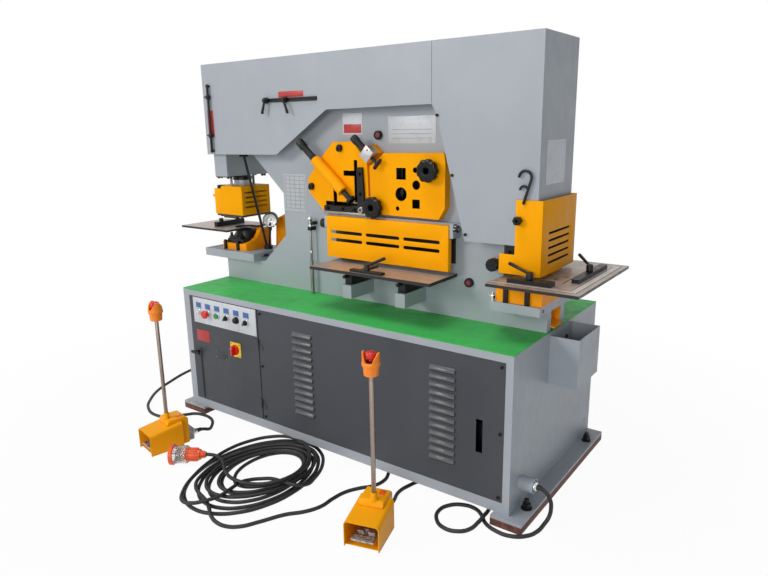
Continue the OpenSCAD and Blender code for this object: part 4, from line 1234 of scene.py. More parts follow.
@dataclass
class Studio:
    """Floor, soft light and the camera.

    Attributes:
        eye: Where the camera stands.
        heading: How far it looks to the left of straight back, in degrees.
        tilt: How far it looks down, in degrees.
        roll: How far it leans, in degrees.
        lens: Its focal length on a 36 mm sensor.
        lit: What the lamps look at, in the row's metres.
        fill: Strength of the even light from all round.
        fade: Where the floor starts and ends turning white, in metres from the middle.
    """

    eye: tuple[float, float, float] = (2819.6, -2036.5, 1461.2)
    heading: float = 36.33
    tilt: float = 14.04
    roll: float = -0.93
    lens: float = 30.12
    lit: tuple[float, float, float] = (0.0, 0.1, 0.8)
    fill: float = 0.27
    fade: Span = (1.3, 3.4)

    def camera(self) -> None:
        """Sets up the camera."""
        data = bpy.data.cameras.new("camera")
        data.lens, data.sensor_width, data.sensor_fit = self.lens, 36.0, "HORIZONTAL"
        data.clip_start, data.clip_end = 0.05, 200.0
        made = placed("camera", data)
        look = Matrix.Rotation(math.radians(self.heading), 4, "Z")
        look = look @ Matrix.Rotation(math.radians(90.0 - self.tilt), 4, "X")
        look = look @ Matrix.Rotation(math.radians(self.roll), 4, "Z")
        made.matrix_world = Matrix.Translation(SITE.at(self.eye)) @ look
        bpy.context.scene.camera = made

    def lamp(self, name: str, place: Point, power: float, size: float, tint: str) -> None:
        """Adds a soft area lamp that looks at the machine's middle.

        Args:
            name: The lamp's name.
            place: Where it hangs, in the row's metres.
            power: Its power in watts.
            size: Its width in metres.
            tint: Its colour.
        """
        data = bpy.data.lights.new(name, "AREA")
        data.energy, data.size, data.shape = power, size, "DISK"
        data.color = linear(tint)[:3]
        aim = Vector(self.lit) - Vector(place)
        look = aim.to_track_quat("-Z", "Y").to_matrix().to_4x4()
        placed(name, data).matrix_world = Matrix.Translation(Vector(place)) @ look

    def seen(self, tree: bpy.types.NodeTree) -> bpy.types.NodeSocket:
        """Returns one where the camera, a mirror or glass looks, and zero for other light."""
        path = tree.nodes.new("ShaderNodeLightPath")
        share = path.outputs["Is Camera Ray"]
        for name in ("Is Glossy Ray", "Is Transmission Ray"):
            most = tree.nodes.new("ShaderNodeMath")
            most.operation = "MAXIMUM"
            tree.links.new(share, most.inputs[0])
            tree.links.new(path.outputs[name], most.inputs[1])
            share = most.outputs["Value"]
        return share

    def world(self) -> None:
        """Fills the room with even light, and shows white behind the machine."""
        world = bpy.data.worlds.new("room")
        bpy.context.scene.world = world
        world.use_nodes = True
        tree = world.node_tree
        tree.nodes.clear()
        fill = tree.nodes.new("ShaderNodeBackground")
        fill.inputs["Color"].default_value = linear("eef1f5")
        fill.inputs["Strength"].default_value = self.fill
        shown = tree.nodes.new("ShaderNodeBackground")
        shown.inputs["Color"].default_value = (1.0, 1.0, 1.0, 1.0)
        mix = tree.nodes.new("ShaderNodeMixShader")
        out = tree.nodes.new("ShaderNodeOutputWorld")
        tree.links.new(self.seen(tree), mix.inputs["Fac"])
        tree.links.new(fill.outputs["Background"], mix.inputs[1])
        tree.links.new(shown.outputs["Background"], mix.inputs[2])
        tree.links.new(mix.outputs["Shader"], out.inputs["Surface"])

    def floor(self) -> None:
        """Lays a pale floor that fades to white away from the machine."""
        graph = Graph("studio_floor")
        graph.set(Base_Color=(0.86, 0.86, 0.86, 1.0), Roughness=0.9, Specular_IOR_Level=0.1)
        reach = graph.add("ShaderNodeVectorMath", operation="LENGTH")
        graph.feed(reach.inputs[0], graph.place)
        fade = graph.between(reach.outputs["Value"], *self.fade)
        glow = graph.add("ShaderNodeEmission")
        glow.inputs["Color"].default_value = (1.0, 1.0, 1.0, 1.0)
        mix = graph.add("ShaderNodeMixShader")
        base = graph.maths("ADD", graph.maths("MULTIPLY", fade, 0.06), 0.95)
        graph.feed(mix.inputs["Fac"], graph.maths("MULTIPLY", base, self.seen(graph.tree)))
        graph.feed(mix.inputs[1], graph.shader.outputs["BSDF"])
        graph.feed(mix.inputs[2], glow.outputs["Emission"])
        graph.feed(graph.tree.nodes["Material Output"].inputs["Surface"], mix.outputs["Shader"])
        shape = bmesh.new()
        bmesh.ops.create_circle(shape, cap_ends=True, segments=96, radius=40.0)
        mesh = bpy.data.meshes.new("floor")
        shape.to_mesh(mesh)
        shape.free()
        mesh.materials.append(graph.material)
        made = placed("floor", mesh)

    def build(self) -> None:
        """Sets up camera, floor, world and lamps, and the plain view transform."""
        self.camera()
        self.floor()
        self.world()
        self.lamp("key_left", (-4.4, -8.2, 4.9), 350.0, 3.4, "fffaf4")
        self.lamp("front_soft", (3.4, -8.8, 2.6), 200.0, 3.2, "ffffff")
        self.lamp("top_soft", (-0.3, -0.8, 6.2), 130.0, 2.8, "ffffff")
        bpy.context.scene.view_settings.view_transform = "Standard"
        LOG.info("studio: camera, floor, world and three lamps")


# ---------- cords ----------


def smooth_line(
    name: str, points: Sequence[Point], diameter: float, finish: Finish, body: str
) -> bpy.types.Object:
    """Lays a round cord along points in machine millimetres.

    Args:
        name: The piece's name.
        points: What the cord's middle runs through.
        diameter: Its diameter in millimetres.
        finish: What it is finished in.
        body: The CAD body that it rides on.

    Returns:
        The curve.
    """
    data = bpy.data.curves.new(name, "CURVE")
    data.dimensions = "3D"
    data.bevel_depth = diameter / 2.0 / MM
    data.bevel_resolution = 5
    data.resolution_u = 6
    data.use_fill_caps = True
    spline = data.splines.new("BEZIER")
    spline.bezier_points.add(len(points) - 1)
    for knot, point in zip(spline.bezier_points, points):
        knot.co = SITE.at(point)
        knot.handle_left_type = knot.handle_right_type = "AUTO"
    data.materials.append(finish.material())
    made = placed(name, data)
    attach(made, body)
    return made


@dataclass
class Cords:
    """The power cord with its coil and plug, and the two pedal cords.

    Attributes:
        diameter: Diameter of every cord.
        lie: Height of a lying cord's middle.
        coil_centre: Middle of the coil on the floor.
        coil_in: Half axes of the innermost turn.
        coil_out: Half axes of the outermost turn.
        turns: How many turns lie on top, wound inwards, and under them, wound outwards.
        per_turn: Points for each turn.
        first_angle: Where the outermost turn starts, in degrees.
        settle: Points over which the turns start and end without waves.
        drop: Points before and after the innermost one over which they come down.
        stacked: How much higher the turns on top lie.
        last_rise: How much the last point is raised, so that the way up to the next turn doesn't dip.
        lean: How far the upper turns are turned against the lower ones, in degrees.
        shift: How far the coil's hole sits from its middle.
        plug_at: Where the plug's front lies.
        plug_turn: Which way the plug's body points, in degrees.
    """

    diameter: float = 16.0
    lie: float = -34.0
    coil_centre: tuple[float, float] = (815.0, -315.0)
    coil_in: tuple[float, float] = (122.0, 160.0)
    coil_out: tuple[float, float] = (262.0, 365.0)
    turns: tuple[float, float] = (3.0, 4.625)
    per_turn: int = 16
    first_angle: float = -115.0
    settle: float = 12.0
    drop: float = 4.0
    stacked: float = 16.1
    last_rise: float = 3.8
    lean: float = -11.0
    shift: tuple[float, float] = (27.0, 66.0)
    plug_at: tuple[float, float, float] = (410.0, -448.0, 5.5)
    plug_turn: float = 34.4

    def left_route(self) -> list[Point]:
        """Returns the left pedal's cord from its gland to the cabinet's left stub."""
        pedal = Pedal.left()
        z = self.lie
        return [
            pedal.gland(0.0),
            pedal.gland(14.0),
            pedal.gland(34.0) + Vector((0.0, 0.0, -4.0)),
            (290, -134, z + 6), (262, -94, z), (221, -56, z), (171, -36, z), (118, -34, z),
            (70, -48, z), (34, -89, z), (-17, -155, z), (-93, -182, z), (-213, -148, z),
            (-309, -65, z), (-393, 54, z), (-426, 150, z + 4), (-405, 240, z + 34),
            (-330, 280, 40), (-240, 240, 80), (-160, 165, 97), (-115, 114, 100),
            (-80, 100, 100), (-65, 100, 100),
        ]

    def right_route(self) -> list[Point]:
        """Returns the right pedal's cord from the cabinet's right stub to its gland."""
        pedal = Pedal.right()
        z, end = self.lie, MACHINE.length
        return [
            (end + 65, 100, 100), (end + 80, 100, 100), (end + 104, 101, 90),
            (end + 122, 103, 64), (end + 128, 102, 28), (end + 125, 92, -6),
            (end + 116, 66, z + 6), (end + 110, 22, z), (end + 90, -26, z),
            (end + 38, -64, z), (end - 22, -66, z), (end - 76, -44, z), (end - 112, -6, z),
            (end - 156, 20, z), (end - 212, 14, z), (end - 253, -20, z), (end - 268, -72, z),
            (end - 243, -132, z), (end - 192, -162, z), (end - 140, -152, z),
            (end - 106, -116, z + 2), (end - 93, -66, z + 12), (end - 92, -28, z + 17),
            (end - 98, 24, z + 12), (end - 122, 76, z + 2), (end - 180, 122, z),
            (end - 270, 138, z), (end - 370, 120, z), (end - 445, 75, z), (end - 470, 10, z),
            (end - 474, -55, z + 4),
            pedal.gland(34.0) + Vector((0.0, 0.0, -4.0)),
            pedal.gland(14.0),
            pedal.gland(0.0),
        ]

    def coil(self) -> list[Point]:
        """Returns the coil's turns: inwards on top, then outwards on the floor under those."""
        upper, lower = (int(turns * self.per_turn) for turns in self.turns)
        last = upper + lower
        points: list[Point] = []
        for i in range(last + 1):
            angle = math.radians(self.first_angle) - math.tau * i / self.per_turn
            share = 0.62 - 0.60 * i / upper if i <= upper else 0.02 + 0.98 * (i - upper) / lower
            ends = min(1.0, i / self.settle, (last - i) / self.settle)
            share += (0.024 * math.sin(1.3 * angle + 0.6) + 0.014 * math.sin(2.1 * angle)) * ends
            share = min(1.0, max(0.0, share))
            fall = min(1.0, max(0.0, (i - upper + self.drop) / (2.0 * self.drop)))
            height = 1.0 - fall * fall * (3.0 - 2.0 * fall)
            a = self.coil_in[0] + share * (self.coil_out[0] - self.coil_in[0])
            b = self.coil_in[1] + share * (self.coil_out[1] - self.coil_in[1])
            turned = Matrix.Rotation(math.radians(self.lean) * height, 2)
            x, y = turned @ Vector((a * math.cos(angle), b * math.sin(angle)))
            points.append((
                self.coil_centre[0] + (1.0 - share) * self.shift[0] + x,
                self.coil_centre[1] + (1.0 - share) * self.shift[1] + y,
                self.lie + 0.2 + self.stacked * height + (self.last_rise if i == last else 0.0),
            ))
        return points

    def power_route(self) -> list[Point]:
        """Returns the power cord from its gland under the cabinet to the plug's neck."""
        x, y, z = MACHINE.shear_x + 100.0, 330.0, self.lie
        lead: list[Point] = [
            (x, y, -8), (x, y, -14), (x, y - 5, z + 13), (x + 3, y - 18, z + 4), (x + 10, 290, z),
            (x + 30, 240, z), (x + 62, 170, z), (1262, 90, z), (1302, 36, z), (1318, -18, z),
            (1305, -78, z), (1269, -125, z), (1238, -182, z), (1226, -252, z), (1223, -322, z),
            (1194, -387, z), (1143, -448, z), (1095, -539, z), (1055, -606, z + 0.5), (1012, -638, z + 2.5),
            (966, -648, z + 9), (920, -636, z + 15), (878, -610, z + 16.2), (834, -586, z + 16.2),
        ]
        plug = turn_about_z(self.plug_at, self.plug_turn)
        tail: list[Point] = [(627, -337, -1.5), (591, -332, 1.5)]
        tail += [plug @ Vector((reach, 0.0, 0.0)) for reach in (177.0, 160.0, 135.0)]
        return lead + self.coil() + self.over() + tail

    def over(self) -> list[Point]:
        """Returns the last two turns, which lie across the others and the coil's hole."""
        z = self.lie
        return [
            (1075, -240, z + 11), (1062, -284, z + 22), (1026, -309, z + 31), (982, -316, z + 32.2),
            (938, -320, z + 29), (894, -332, z + 20), (864, -370, z + 24), (853, -418, z + 32),
            (858, -478, z + 32.5), (862, -545, z + 32.5), (842, -598, z + 32.5), (800, -632, z + 24), (745, -638, z + 17),
            (684, -590, z + 16.2), (618, -480, z + 16.2), (574, -350, z + 16.2), (558, -230, z + 16.2),
            (580, -126, z + 18), (642, -38, z + 23), (735, 4, z + 30), (832, -6, z + 32.4),
            (906, -48, z + 32.4), (960, -108, z + 32.4), (1000, -182, z + 35), (1014, -264, z + 45),
            (996, -346, z + 48), (934, -412, z + 47), (845, -438, z + 48), (756, -416, z + 42),
            (702, -382, z + 34), (662, -354, z + 32.5),
        ]

    def plug(self) -> bpy.types.Object:
        """Builds the five-pin plug with its clear ring, ribbed body and rubber neck.

        Returns:
            The plug.
        """
        maker = Maker("plug_body", turn_about_z(self.plug_at, self.plug_turn))
        shell = [(38, 1.5), (39, 0), (46, 0), (47.5, 1.5), (47.5, 16), (46, 17.5), (43.5, 18)]
        maker.turned(shell + [(38, 18), (38, 1.5)], (0, 0, 0), Axis.X, Coats.PLUG, 56)
        ring = [(38, 17), (42, 18), (42, 24), (40.6, 27), (40.6, 66), (42, 69), (42, 76), (40, 79)]
        maker.turned(ring + [(36.5, 79), (36.5, 17), (38, 17)], (0, 0, 0), Axis.X, Coats.PLUG_CLEAR, 56)
        inner = [(0, 50), (26, 50), (29, 58), (29, 76), (33, 80)]
        body = [(33, 88), (31, 90), (29, 110), (25.5, 134), (24, 140), (19, 141), (17.8, 143)]
        neck = [(17.8, 143), (17.5, 150), (15.5, 152), (15.5, 155), (17, 157), (14.5, 159), (13.5, 165), (0, 165)]
        maker.turned(inner + body + neck, (0, 0, 0), Axis.X, Coats.PLUG, 56)
        maker.turned([(0, 28), (30, 28), (31, 30), (31, 52), (0, 52)], (0, 0, 0), Axis.X, Coats.PLATE_DARK, 40)
        for i in range(12):
            spoke = Matrix.Rotation(math.tau * i / 12, 4, "X")
            maker.box((88, 128), (-2.2, 2.2), (25.0, 31.6), Coats.PLUG, 1.6, turn=spoke)
        for i in range(5):
            angle = math.tau * i / 5
            y, z = 24 * math.cos(angle), 24 * math.sin(angle)
            maker.rod((12, y, z), (45, y, z), 8.0, Coats.CHROME, edge=1.5, sides=20)
        maker.box((-0.5, 16), (-9, 9), (40, 47.2), Coats.PLUG, 2.0)
        return maker.piece("base", ["power_plug"])

    def build(self) -> None:
        """Lays the three cords and builds the plug."""
        plug = self.plug()
        for name, route, nodes, far, lay, pieces in (
            ("pedal_lead_left", self.left_route(), ["pedal_cord_left"], "object", "loose", []),
            ("pedal_lead_right", self.right_route(), ["pedal_cord_right"], "object", "loose", []),
            ("power_lead", self.power_route(), ["power_cord", "power_coil"], "plug", "coiled", [plug]),
        ):
            lead = smooth_line(name, route, self.diameter, Coats.CORD, "base")
            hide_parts(*nodes)
            SITE.at(route[0])


# ---------- pedals ----------


@dataclass
class Pedal:
    """A hooded foot pedal with its stop button on a pole.

    Attributes:
        side: Which pedal it is, in piece and body names.
        place: Where the middle of its mouth stands.
        turn: How far it is turned from straight back, in degrees.
        width: Width of the hood.
        depth: Depth of the hood.
        hood_top: Height of the hood's top.
        block_top: Height of the raised block behind it.
        head: Height of the foot of the button's cup.
        gland_height: Height of the cord's gland.
        slope: How much the hood's top rises towards its back.
        pole: Where the pole stands in the pedal's own frame.
    """

    side: str
    place: Span
    turn: float
    width: float = 140.0
    depth: float = 165.0
    hood_top: float = 84.0
    block_top: float = 100.0
    head: float = 600.0
    gland_height: float = -10.0
    slope: float = 0.14
    pole: Span = (8.0, 115.0)

    @classmethod
    def left(cls) -> "Pedal":
        """Returns the pedal of the punch."""
        return cls("left", (210.0, -450.0), -12.0)

    @classmethod
    def right(cls) -> "Pedal":
        """Returns the pedal of the shears."""
        return cls("right", (1521.0, -438.0), 15.5)

    def home(self) -> Matrix:
        """Returns the pedal's own frame."""
        return turn_about_z((*self.place, 0.0), self.turn)

    def gland(self, reach: float) -> Vector:
        """Returns a point straight behind the cord's gland, in machine millimetres."""
        return self.home() @ Vector((20.0, 258.0 + reach, self.gland_height))

    def hood(self) -> None:
        """Builds the folded hood, the block behind it and the pole's foot."""
        maker = Maker(f"hood_{self.side}", self.home())
        w, top, floor = self.width / 2, self.hood_top, MACHINE.floor
        outer = [(-w, floor), (-w, top), (w, top), (w, floor)]
        inner = [(w - 3, floor), (w - 3, top - 3), (3 - w, top - 3), (3 - w, floor)]
        folds = {1: 15.0, 2: 15.0, 5: 12.0, 6: 12.0}
        maker.slab(outer + inner, on_front(self.depth), self.depth, Coats.PEDAL, folds=folds)
        maker.box((3 - w, w - 3), (12, self.depth - 3), (floor, floor + 4), Coats.PEDAL, 0.6)
        maker.box((3 - w, w - 3), (self.depth - 3, self.depth), (floor, top - 3), Coats.PEDAL, 0.6)
        for vert in maker.whole.verts:
            if vert.co.z > 0.0:
                vert.co.z += (vert.co.y - self.depth) * self.slope
        side = [(95, top - 8), (107, self.block_top), (190, self.block_top), (205, self.block_top - 15)]
        side += [(205, floor), (self.depth - 2, floor), (self.depth - 2, top - 2)]
        maker.slab(side, on_right(-50.0), 100.0, Coats.PEDAL, edge=3.5)
        maker.box((12, 36), (150, 182), (self.block_top, self.block_top + 1.2), Coats.PLUG, 0.5)
        x, y = self.pole
        foot = [(0, -2), (14.5, -2), (14.5, 4), (12.5, 8), (12.5, 28), (11.2, 30), (0, 30)]
        maker.turned(foot, (x, y, self.block_top), Axis.Z, Coats.PEDAL, 40)
        maker.piece("base", [f"pedal_hood_{self.side}"])

    def stand(self) -> None:
        """Builds the pole with its cup, the cup's collar and its two pointed ears."""
        x, y = self.pole
        pole = Maker(f"pole_{self.side}", self.home())
        pole.rod((x, y, self.block_top + 28), (x, y, self.head + 3), 18.0, Coats.POLE, sides=40)
        pole.piece("base")
        cup = Maker(f"button_cup_{self.side}", self.home())
        wall = [(9.2, 0), (26, 0), (27.4, 1.4), (29.6, 34), (33, 36), (34, 38), (34, 49), (32.6, 51.5)]
        well = [(27, 52), (25.5, 46), (10.4, 46), (10.4, 24), (9.2, 24), (9.2, 0)]
        cup.turned(wall + well, (x, y, self.head), Axis.Z, Coats.HEAD_ORANGE, 56)
        for middle in (0.0, 180.0):
            cup.ear((x, y, self.head + 50), (27.0, 33.0), 38.0, middle, (124.0, 22.0), Coats.HEAD_ORANGE)
        skirt = [(10.4, 46.4), (19, 46.4), (18, 52), (10.4, 54), (10.4, 46.4)]
        cup.turned(skirt, (x, y, self.head), Axis.Z, Coats.BLACK_PLASTIC, 40)
        cup.piece("base")

    def gland_box(self) -> None:
        """Builds the grey switch box at the back, its screws and the cord's gland."""
        maker = Maker(f"switch_box_{self.side}", self.home())
        maker.box((-18, 46), (204, 231), (-36, 24), Coats.CASTING, 3.0, 3)
        screws = [(x, 230, z) for x in (-11, 39) for z in (-29, 17)]
        maker.studs(screws, (0, 2.2, 0), 7.0, Coats.CHROME, 0.6, 20)
        nut = [(0, 0), (17.0, 0), (17.0, 9), (15.6, 10.5), (0, 10.5)]
        maker.turned(nut, (20, 231, self.gland_height), Axis.Y, Coats.CHROME, 6)
        dome = [(0, 10), (14.5, 10), (14.5, 18), (12.5, 23), (9.5, 26), (0, 26)]
        maker.turned(dome, (20, 231, self.gland_height), Axis.Y, Coats.CHROME, 36)
        maker.piece("base")
        boot = Maker(f"gland_boot_{self.side}", self.home())
        relief = [(0, 24), (11.4, 24), (10.8, 32), (9.8, 40), (8.9, 49), (8.3, 50), (0, 50)]
        boot.turned(relief, (20, 231, self.gland_height), Axis.Y, Coats.BOOT, 32)
        boot.piece("base")

    def treadle(self) -> None:
        """Builds the cast treadle with its two steps, its notch and its hinge."""
        maker = Maker(f"treadle_{self.side}_casting", self.home())
        low = oblong((-48, 48), (4, 130))
        maker.slab(low, Matrix.Translation((0, 0, -16)), 8.0, Coats.TREADLE, edge=1.6, corner=9.0)
        high = [(-38, 47), (-8, 47), (-8, 63), (8, 63), (8, 47), (38, 47), (38, 122), (-38, 122)]
        maker.slab(high, Matrix.Translation((0, 0, -9)), 11.0, Coats.TREADLE, edge=1.6, corner=3.0)
        for i in range(4):
            maker.box((-42, 42), (10 + 7 * i, 12.5 + 7 * i), (-8.5, -6.6), Coats.TREADLE, 0.8)
        maker.rod((0, 36, -8.2), (0, 36, -6.9), 7.0, Coats.BLACK, edge=0.4, sides=18)
        maker.rod((-46, 130, -12), (46, 130, -12), 16.0, Coats.TREADLE, edge=1.2)
        maker.piece(f"treadle_{self.side}", [f"pedal_{self.side}"])

    def button(self) -> None:
        """Builds the red mushroom button."""
        x, y = self.pole
        maker = Maker(f"mushroom_{self.side}", self.home())
        stem = [(0, 35.5), (9.8, 35.5), (9.8, 63), (18, 65), (20.4, 67), (21, 70), (21, 79)]
        crown = [(20, 83), (17, 86.5), (12, 88.8), (6, 89.8), (0, 90)]
        maker.turned(stem + crown, (x, y, self.head), Axis.Z, Coats.RED, 48)
        maker.piece(f"estop_{self.side}", [f"estop_{self.side}"])

    def build(self) -> None:
        """Builds the whole pedal."""
        self.hood()
        self.stand()
        self.gland_box()
        self.treadle()
        self.button()


# ---------- cabinet ----------


@dataclass
class Controls:
    """The control plate on the door with its lamp, buttons and switches.

    Attributes:
        first: Where the first control sits along X.
        pitch: Distance from control to control.
        row: Height of the controls.
        switch: Where the main switch sits.
        latch: Where the door's latch sits.
    """

    first: float = 120.0
    pitch: float = 72.0
    row: float = 540.0
    switch: Span = (386.0, 381.0)
    latch: Span = (95.0, 318.5)

    def spot(self, index: int, y: float) -> Point:
        """Returns the middle of one control at some depth."""
        return (self.first + index * self.pitch, y, self.row)

    def plate(self) -> None:
        """Builds the plate, its legends and bezels, the pilot lamp and the switch's plate."""
        maker = Maker("control_panel_plate")
        maker.box((75, 548), (-2, 0), (480, 616), Coats.PLATE, 0.6)
        for i in range(6):
            x, _, _ = self.spot(i, 0.0)
            maker.box((x - 22, x + 22), (-3, -1.8), (self.row + 19, self.row + 53), Coats.PLATE_METAL, 0.4)
            maker.box((x - 20, x + 20), (-3.4, -2.6), (self.row + 24, self.row + 51), Coats.PLATE_BLUE, 0.3)
            ring = [(13, 0), (18, 0), (18, 5.5), (16.8, 7.4), (14.4, 8), (13, 7.4), (13, 0)]
            maker.turned(ring, self.spot(i, -2), Axis.BACK_Y, Coats.CHROME if i != 4 else Coats.BLACK_PLASTIC, 40)
        lens = [(0, 0), (11.6, 0), (11.6, 9), (10.2, 12.5), (6.5, 14), (0, 14.4)]
        maker.turned(lens, self.spot(0, -1.6), Axis.BACK_Y, Coats.LENS_WHITE, 40)
        screws = [(x, -2, z) for x in (84, 539) for z in (489, 607)]
        maker.studs(screws, (0, -2.2, 0), 8.0, Coats.CHROME, 0.8, 20)
        maker.piece("door", ["control_plate"])
        x, z = self.switch
        square = Maker("main_switch_plate")
        place = on_front(0.0) @ Matrix.Translation((x, z, 0.0))
        square.slab(oblong((-38, 38), (-38, 38)), place, 3.0, Coats.SIGNAL_YELLOW, edge=0.8, corner=5.0)
        screws = [(x + u, -3, z + v) for u in (-30, 30) for v in (-30, 30)]
        square.studs(screws, (0, -1, 0), 6.0, Coats.BLACK_PLASTIC, 0.3, 16)
        square.piece("door")

    def buttons(self) -> None:
        """Builds the mushroom stop button, the flush start button and the round black one."""
        stop = Maker("stop_mushroom")
        stop.turned(
            [(0, 0), (12.6, 0), (12.6, 12), (19.6, 14), (21, 17), (21, 22.6), (18.6, 26), (11, 27), (0, 27)],
            self.spot(1, -7), Axis.BACK_Y, Coats.RED,
        )
        stop.piece("stop_button", ["stop_button"])
        start = Maker("start_cap")
        start.turned(
            [(0, 0), (14.2, 0), (14.2, 8.6), (13.0, 9.8), (11, 9.5), (0, 9.0)],
            self.spot(2, -7.6), Axis.BACK_Y, Coats.GREEN,
        )
        start.piece("start_button", ["start_button"])
        middle = Maker("round_cap")
        middle.turned(
            [(0, 0), (14.0, 0), (14.0, 9.4), (12, 12.4), (7.6, 14.1), (0, 14.5)],
            self.spot(4, -7.6), Axis.BACK_Y, Coats.BLACK_PLASTIC,
        )
        middle.piece("mid_button", ["selector_mid"])

    def selectors(self) -> None:
        """Builds the two turn switches with a light mark on each grip."""
        for index, side in ((3, "left"), (5, "right")):
            maker = Maker(f"selector_{side}_grip")
            drum = [(0, 0), (13.6, 0), (13.6, 12), (12.4, 13), (0, 13)]
            maker.turned(drum, self.spot(index, -2.4), Axis.BACK_Y, Coats.BLACK_PLASTIC, 40)
            tilt = Matrix.Translation(self.spot(index, -22)) @ Matrix.Rotation(math.radians(-45), 4, "Y")
            maker.box((-15, 15), (-3, 8), (-5, 5), Coats.BLACK_PLASTIC, 2.4, 3, turn=tilt)
            maker.box((-13.5, -3), (-3.4, -2), (-1.0, 1.0), Coats.LENS_WHITE, 0.3, turn=tilt)
            maker.piece(f"selector_{side}", [f"selector_{side}"])

    def main_switch(self) -> None:
        """Builds the red rotary switch with its bar grip."""
        x, z = self.switch
        maker = Maker("main_switch_knob")
        drum = [(0, 0), (26, 0), (26, 7.5), (24.4, 10), (0, 10.6)]
        maker.turned(drum, (x, -3.4, z), Axis.BACK_Y, Coats.RED, 56)
        maker.box((x - 7, x + 7), (-34, -12), (z - 25, z + 25), Coats.RED, 3.2, 4)
        maker.box((x - 1.4, x + 1.4), (-34.4, -33), (z + 8, z + 21), Coats.LENS_WHITE, 0.4)
        maker.piece("main_switch", ["main_switch"])

    def handle(self) -> None:
        """Builds the door's black T handle."""
        x, z = self.latch
        maker = Maker("latch_handle")
        stem = [(0, 0), (7.9, 0), (7.9, 17), (10.5, 20), (10.5, 25), (0, 25)]
        maker.turned(stem, (x, -1.2, z), Axis.BACK_Y, Coats.BLACK_PLASTIC, 32)
        maker.box((x - 32, x + 32), (-36, -24), (z - 8, z + 8), Coats.BLACK_PLASTIC, 4.6, 4)
        maker.piece("door_latch", ["door_latch"])

    def build(self) -> None:
        """Builds everything on the door."""
        self.plate()
        self.buttons()
        self.selectors()
        self.main_switch()
        self.handle()


@dataclass
class Cabinet:
    """The base cabinet with its skid boards, door, panel, mat and scrap bin.

    Attributes:
        stub: Height and depth of the cable stubs on both sides.
        stub_length: How far the stubs stand out.
        louvre_x: Where the two rows of louvres start.
        louvre_z: Height of the lowest louvre.
        louvre_pitch: From louvre to louvre.
        louvre_count: How many louvres a row has.
        power_exit: Where the power cord leaves under the cabinet.
    """

    stub: Span = (100.0, 100.0)
    stub_length: float = 60.0
    louvre_x: Span = (795.0, 1545.0)
    louvre_z: float = 144.0
    louvre_pitch: float = 35.0
    louvre_count: int = 12
    power_exit: Span = (1150.0, 330.0)

    def walls(self) -> None:
        """Dresses the sheet-metal nodes."""
        dress(Coats.SHEET, "cabinet_shell", "scrap_bin")
        dress(Coats.WOOD, "skid_strips")
        dress(Coats.BLACK, "fasteners")
        dress(Coats.MAT, "top_mat")
        dress(Coats.PANEL, "access_panel", "electrical_door")
        dress(Coats.UNIT, "power_unit")

    def places(self) -> None:
        """Builds the bare label places, and a dark strip below the latch that paints the shadow of the door edge's
        seam.
        """
        maker = Maker("door_plates")
        maker.box((85, 185), (-0.9, 0.1), (380, 440), Coats.PLATE_RED, 0.3)
        maker.box((226, 314), (-1.2, 0.1), (308, 350), Coats.PLATE_DARK, 0.3)
        rivets = [(x, -1, z) for x in (231, 309) for z in (313, 345)]
        maker.studs(rivets, (0, -1, 0), 4.0, Coats.BRIGHT, 0.4, 14)
        # Painted shadow: a dark strip along the door edge's seam below the latch.
        maker.box((99, 109), (-3.6, -2.8), (56, 298), Coats.BLACK_PLASTIC, 0.3)
        maker.piece("door")

    def louvres(self) -> None:
        """Builds the pressed hoods over the panel's two rows of slots, with their dark mouths."""
        maker = Maker("louvre_hoods")
        for x in self.louvre_x:
            for i in range(self.louvre_count):
                z = self.louvre_z + self.louvre_pitch * i
                hood = [(1, z + 23), (1, z + 2), (-11, z + 2), (-11, z + 5.5), (-7.5, z + 14), (-3, z + 20.5)]
                maker.slab(hood, on_right(x - 3), 116.0, Coats.PANEL_HOOD, edge=3.2)
                maker.box((x + 2, x + 108), (-7.4, 0.5), (z - 1.5, z + 4), Coats.SHADE, 0.6)
        maker.piece("base")

    def glands(self) -> None:
        """Builds the chrome glands and the black boots where the cords go in."""
        y, z = self.stub
        for side, x, axis in (("right", MACHINE.length, Axis.X), ("left", 0.0, Axis.BACK_X)):
            out = axis.value[0]
            metal = Maker(f"stub_gland_{side}")
            start = (x + out * (self.stub_length - 14.0), y, z)
            nut = [(0, 0), (21.5, 0), (21.5, 9), (20, 10.5), (0, 10.5)]
            metal.turned(nut, start, axis, Coats.CHROME, 6)
            dome = [(0, 10), (18.2, 10), (18.2, 16), (15, 22), (11.4, 24), (0, 24)]
            metal.turned(dome, start, axis, Coats.CHROME, 40)
            metal.piece("base")
            boot = Maker(f"stub_boot_{side}")
            relief = [(0, 20), (11.6, 20), (11.0, 28), (10.0, 36), (9.0, 42), (8.3, 44), (0, 44)]
            boot.turned(relief, start, axis, Coats.BOOT, 32)
            boot.piece("base")
        x, y = self.power_exit
        boot = Maker("power_boot")
        relief = [(0, 0), (17.4, 0), (17.4, 8), (14, 12), (10, 18), (8.6, 22), (0, 22)]
        boot.turned(relief, (x, y, 2.0), Axis.DOWN, Coats.BOOT, 32)
        boot.piece("base")

    def build(self) -> None:
        """Dresses and completes the cabinet."""
        self.walls()
        self.places()
        self.louvres()
        self.glands()


# ---------- frame ----------


